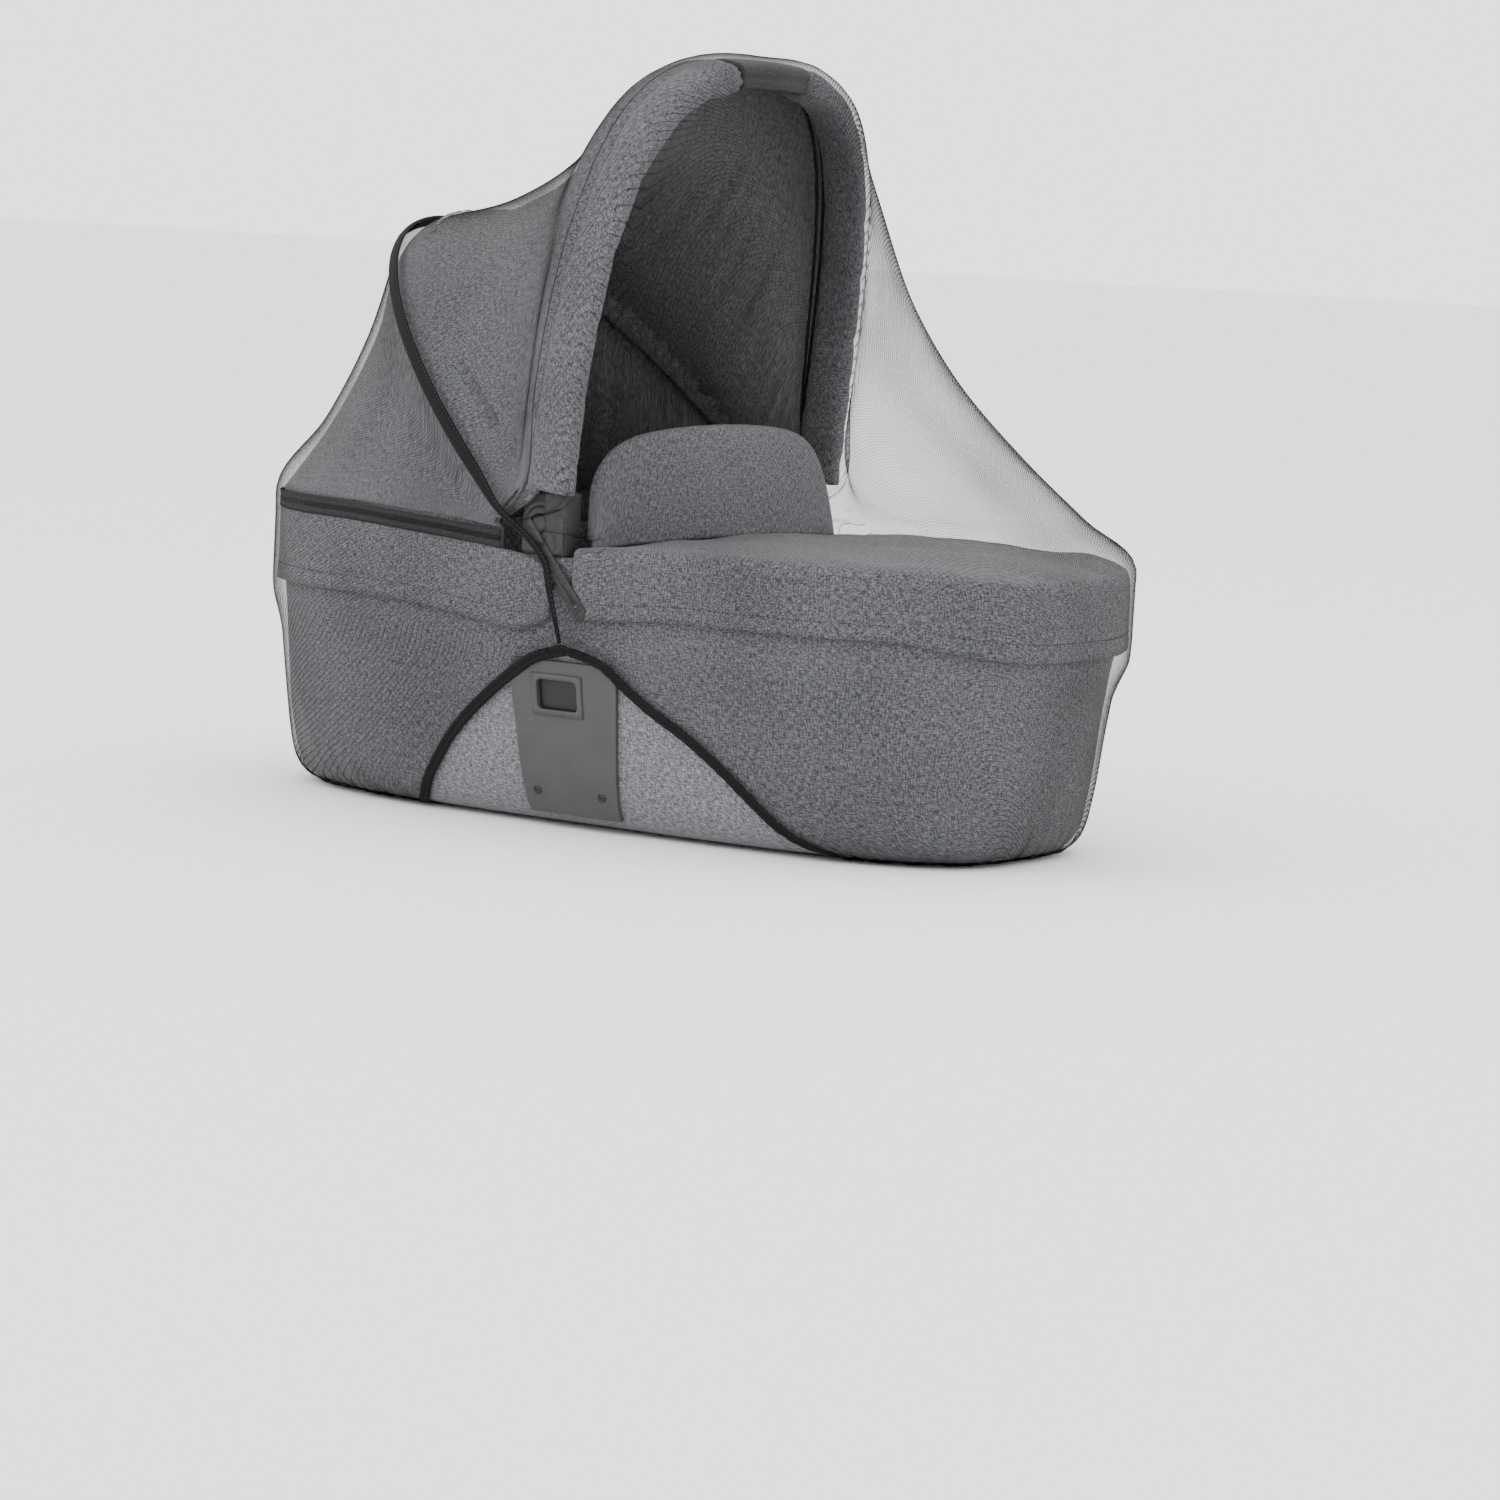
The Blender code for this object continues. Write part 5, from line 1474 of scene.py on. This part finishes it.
def strap_piece(label, side):
    """A tapered rubber strip with rounded corners and a small hole."""
    run, fall = STRAP_FALL
    slant = math.atan2(fall, run)
    bm = bmesh.new()
    corners = [bm.verts.new((x * 0.001, 0.0, z * 0.001)) for x, z in STRAP_OUTLINE]
    face = bm.faces.new(corners)
    made = bmesh.ops.extrude_face_region(bm, geom=[face])
    moved = [item for item in made["geom"] if isinstance(item, bmesh.types.BMVert)]
    bmesh.ops.translate(bm, verts=moved, vec=(0.0, (STRAP_Y[1] - STRAP_Y[0]) * 0.001, 0.0))
    bmesh.ops.recalc_face_normals(bm, faces=bm.faces)
    bmesh.ops.bevel(
        bm, geom=list(bm.edges), offset=0.0004, offset_type="OFFSET", affect="EDGES",
        segments=2, profile=0.5, material=-1,
    )
    turn = Matrix.Rotation(slant, 4, "Y")
    y = ordered(side * STRAP_Y[0], side * STRAP_Y[1])[0]
    place = Matrix.Translation(Vector((STRAP_CENTRE[0], y, STRAP_CENTRE[2])) * 0.001)
    bmesh.ops.transform(bm, matrix=place @ turn, verts=bm.verts)
    strap = mesh_object(f"fixing_strap_{label}_moulding", bm, finish_named("plastic"), 40)
    bm = bmesh.new()
    reach = Matrix.Translation(Vector((STRAP_HOLE[0], side * STRAP_HOLE[1], STRAP_HOLE[2])) * 0.001)
    bmesh.ops.create_cone(
        bm, cap_ends=True, segments=20, radius1=STRAP_HOLE_RADIUS * 0.001, radius2=STRAP_HOLE_RADIUS * 0.001,
        depth=0.01, matrix=reach @ Matrix.Rotation(math.radians(90), 4, "X"),
    )
    cut_out(strap, mesh_object("hole_tool", bm, finish_named("plastic")))
    attach(strap, "plastic", f"fixing_strap_{label}")


def wall_inset(tub, z):
    """How far the body's side lies inside the full width at a height."""
    return float(np.interp(-z, -tub[:, 0], tub[:, 1]))


def wall_patch(tub, side, across, up, margin, proud):
    """A patch of points that follows the body's side."""
    rows = []
    for z in np.linspace(up[1] + margin, up[0] - margin, 8):
        y = side * (HALF_WIDTH - wall_inset(tub, z) + SEAT_GAP + proud)
        rows.append([(x, y, z) for x in np.linspace(across[0] - margin, across[1] + margin, 10)])
    return np.array(rows)


def slot_tool(side, margin):
    """The rounded bar that cuts an adapter plate's slot."""
    bm = bmesh.new()
    y = ordered(side * (HALF_WIDTH - 35.0), side * (HALF_WIDTH + 9.0))
    low = (SLOT_X[0] - margin, y[0], SLOT_Z[0] - margin)
    rounded_block(bm, low, (SLOT_X[1] + margin, y[1], SLOT_Z[1] + margin), 4.0)
    return mesh_object("slot_tool", bm, finish_named("plastic"))


class NET_OT_adapters(BuildStep, bpy.types.Operator):
    """Mould the adapter plates on both sides, each with a framed slot and two screws"""

    bl_idname = "carrycot.adapters"
    bl_label = "Adapter plates"

    def build(self, scene):
        tub = np.array(TUB_PROFILE)
        for label, side in (("near", -1.0), ("far", 1.0)):
            rows = []
            for z in ADAPTER_HEIGHTS:
                inset = wall_inset(tub, z) - SEAT_GAP
                half = ADAPTER_HALF_WIDTH - max(0.0, 130.0 - z) * 0.07 - (6.0 if z > 140.0 else 0.0)
                y = side * (HALF_WIDTH - inset)
                rows.append([(ADAPTER_X + half * share, y, z) for share in np.linspace(-1, 1, 15)])
            rows = np.array(rows)
            plate = grid_object(f"adapter_plate_{label}_moulding", rows, finish_named("plastic"))
            thicken(plate, ADAPTER_THICKNESS, 1.0)
            cut_out(plate, slot_tool(side, 0.0))
            frame_rows = wall_patch(tub, side, SLOT_X, SLOT_Z, 5.0, ADAPTER_THICKNESS - 0.2)
            rim = grid_object(f"adapter_slot_rim_{label}", frame_rows, finish_named("plastic"))
            thicken(rim, 1.6, 1.0)
            attach(cut_out(rim, slot_tool(side, 0.0)), "plastic")
            # A dark sheet at the slot's floor, which is painted shade inside the slot
            painted_shade_rows = wall_patch(tub, side, SLOT_X, SLOT_Z, 2.0, 0.9)
            back = grid_object(f"adapter_slot_painted_shade_{label}", painted_shade_rows, finish_named("dark plastic and painted shade"))
            attach(thicken(back, 0.5), "plastic")
            bm = bmesh.new()
            for x, z in SCREWS:
                y = side * (HALF_WIDTH - wall_inset(tub, z) + ADAPTER_THICKNESS + SEAT_GAP - 0.6)
                spun_disc(bm, SCREW_SECTION, (x, y, z), side, 24)
            bmesh.ops.recalc_face_normals(bm, faces=bm.faces)
            attach(mesh_object(f"adapter_screws_{label}", bm, finish_named("dark plastic and painted shade"), 35), "plastic")
            round_off = plate.modifiers.new("Edges", "BEVEL")
            round_off.width = 0.0012
            round_off.segments = 2
            round_off.limit_method = "ANGLE"
            plate.data.set_sharp_from_angle(angle=math.radians(35))
            attach(plate, "plastic", f"adapter_plate_{label}")


class NET_OT_stage(BuildStep, bpy.types.Operator):
    """Lay the pale floor, hang the soft lights and set the camera"""

    bl_idname = "carrycot.stage"
    bl_label = "Floor, light and camera"

    def build(self, scene):
        stage = scene.carrycot_stage
        floor_made = Nodes("pale floor", tuple(stage.floor), 0.9)
        cloudy = floor_made.noise(floor_made.place((1.5, 1.5, 1.5)), 1.0, 2.0)
        shades = ((0.3, scaled(tuple(stage.floor), 0.985)), (0.7, tuple(stage.floor)))
        floor_made.color(floor_made.ramp(cloudy, shades))
        bm = bmesh.new()
        bmesh.ops.create_grid(bm, x_segments=4, y_segments=4, size=30.0)
        bmesh.ops.translate(bm, verts=bm.verts, vec=(0, 0, -0.0003))
        mesh_object("floor", bm, floor_made.material)
        world = bpy.data.worlds.new("soft sky")
        world.use_nodes = True
        world.node_tree.nodes["Background"].inputs[0].default_value = (1.0, 1.0, 1.0, 1.0)
        world.node_tree.nodes["Background"].inputs[1].default_value = stage.sky
        scene.world = world
        for name, place, size, power in LIGHTS:
            data = bpy.data.lights.new(name, "AREA")
            data.energy = power
            data.size = size
            lamp = bpy.data.objects.new(name, data)
            lamp.location = place
            lamp.rotation_euler = (Vector((0, 0, 0.3)) - Vector(place)).to_track_quat("-Z", "Y").to_euler()
            scene.collection.objects.link(lamp)
        data = bpy.data.cameras.new("camera")
        data.lens = stage.lens
        data.sensor_width = 36.0
        data.clip_end = 200.0
        camera = bpy.data.objects.new("camera", data)
        camera.matrix_world = Matrix(CAMERA_PLACE)
        scene.collection.objects.link(camera)
        scene.camera = camera


class VIEW3D_PT_carrycot_net(bpy.types.Panel):
    """Sizes and colours of the dressed carrycot, and its steps."""

    bl_label = "Carrycot net"
    bl_idname = "VIEW3D_PT_carrycot_net"
    bl_space_type = "VIEW_3D"
    bl_region_type = "UI"
    bl_category = "Carrycot net"

    def draw(self, context):
        for group in GROUPS:
            box = self.layout.box()
            settings = getattr(context.scene, group)
            for name in settings.bl_rna.properties.keys():
                if name not in ("rna_type", "name"):
                    box.prop(settings, name)
        for step in STEPS:
            self.layout.operator(step.bl_idname)


GROUPS = {
    "carrycot_net": NetSettings,
    "carrycot_cloth": ClothSettings,
    "carrycot_trim": TrimSettings,
    "carrycot_stage": StageSettings,
}
STEPS = (
    NET_OT_stage,
    NET_OT_panels,
    NET_OT_bindings,
    NET_OT_hood,
    NET_OT_bows,
    NET_OT_body,
    NET_OT_foot,
    NET_OT_hinges,
    NET_OT_adapters,
)


def register():
    for name, group in GROUPS.items():
        bpy.utils.register_class(group)
        setattr(bpy.types.Scene, name, bpy.props.PointerProperty(type=group))
    for step in STEPS:
        bpy.utils.register_class(step)
    bpy.utils.register_class(VIEW3D_PT_carrycot_net)


def unregister():
    bpy.utils.unregister_class(VIEW3D_PT_carrycot_net)
    for step in reversed(STEPS):
        bpy.utils.unregister_class(step)
    for name, group in reversed(list(GROUPS.items())):
        delattr(bpy.types.Scene, name)
        bpy.utils.unregister_class(group)


def main():
    register()
    for step in STEPS:
        group, name = step.bl_idname.split(".")
        getattr(getattr(bpy.ops, group), name)()
    bpy.context.view_layer.update()


if __name__ == "__main__":
    main()
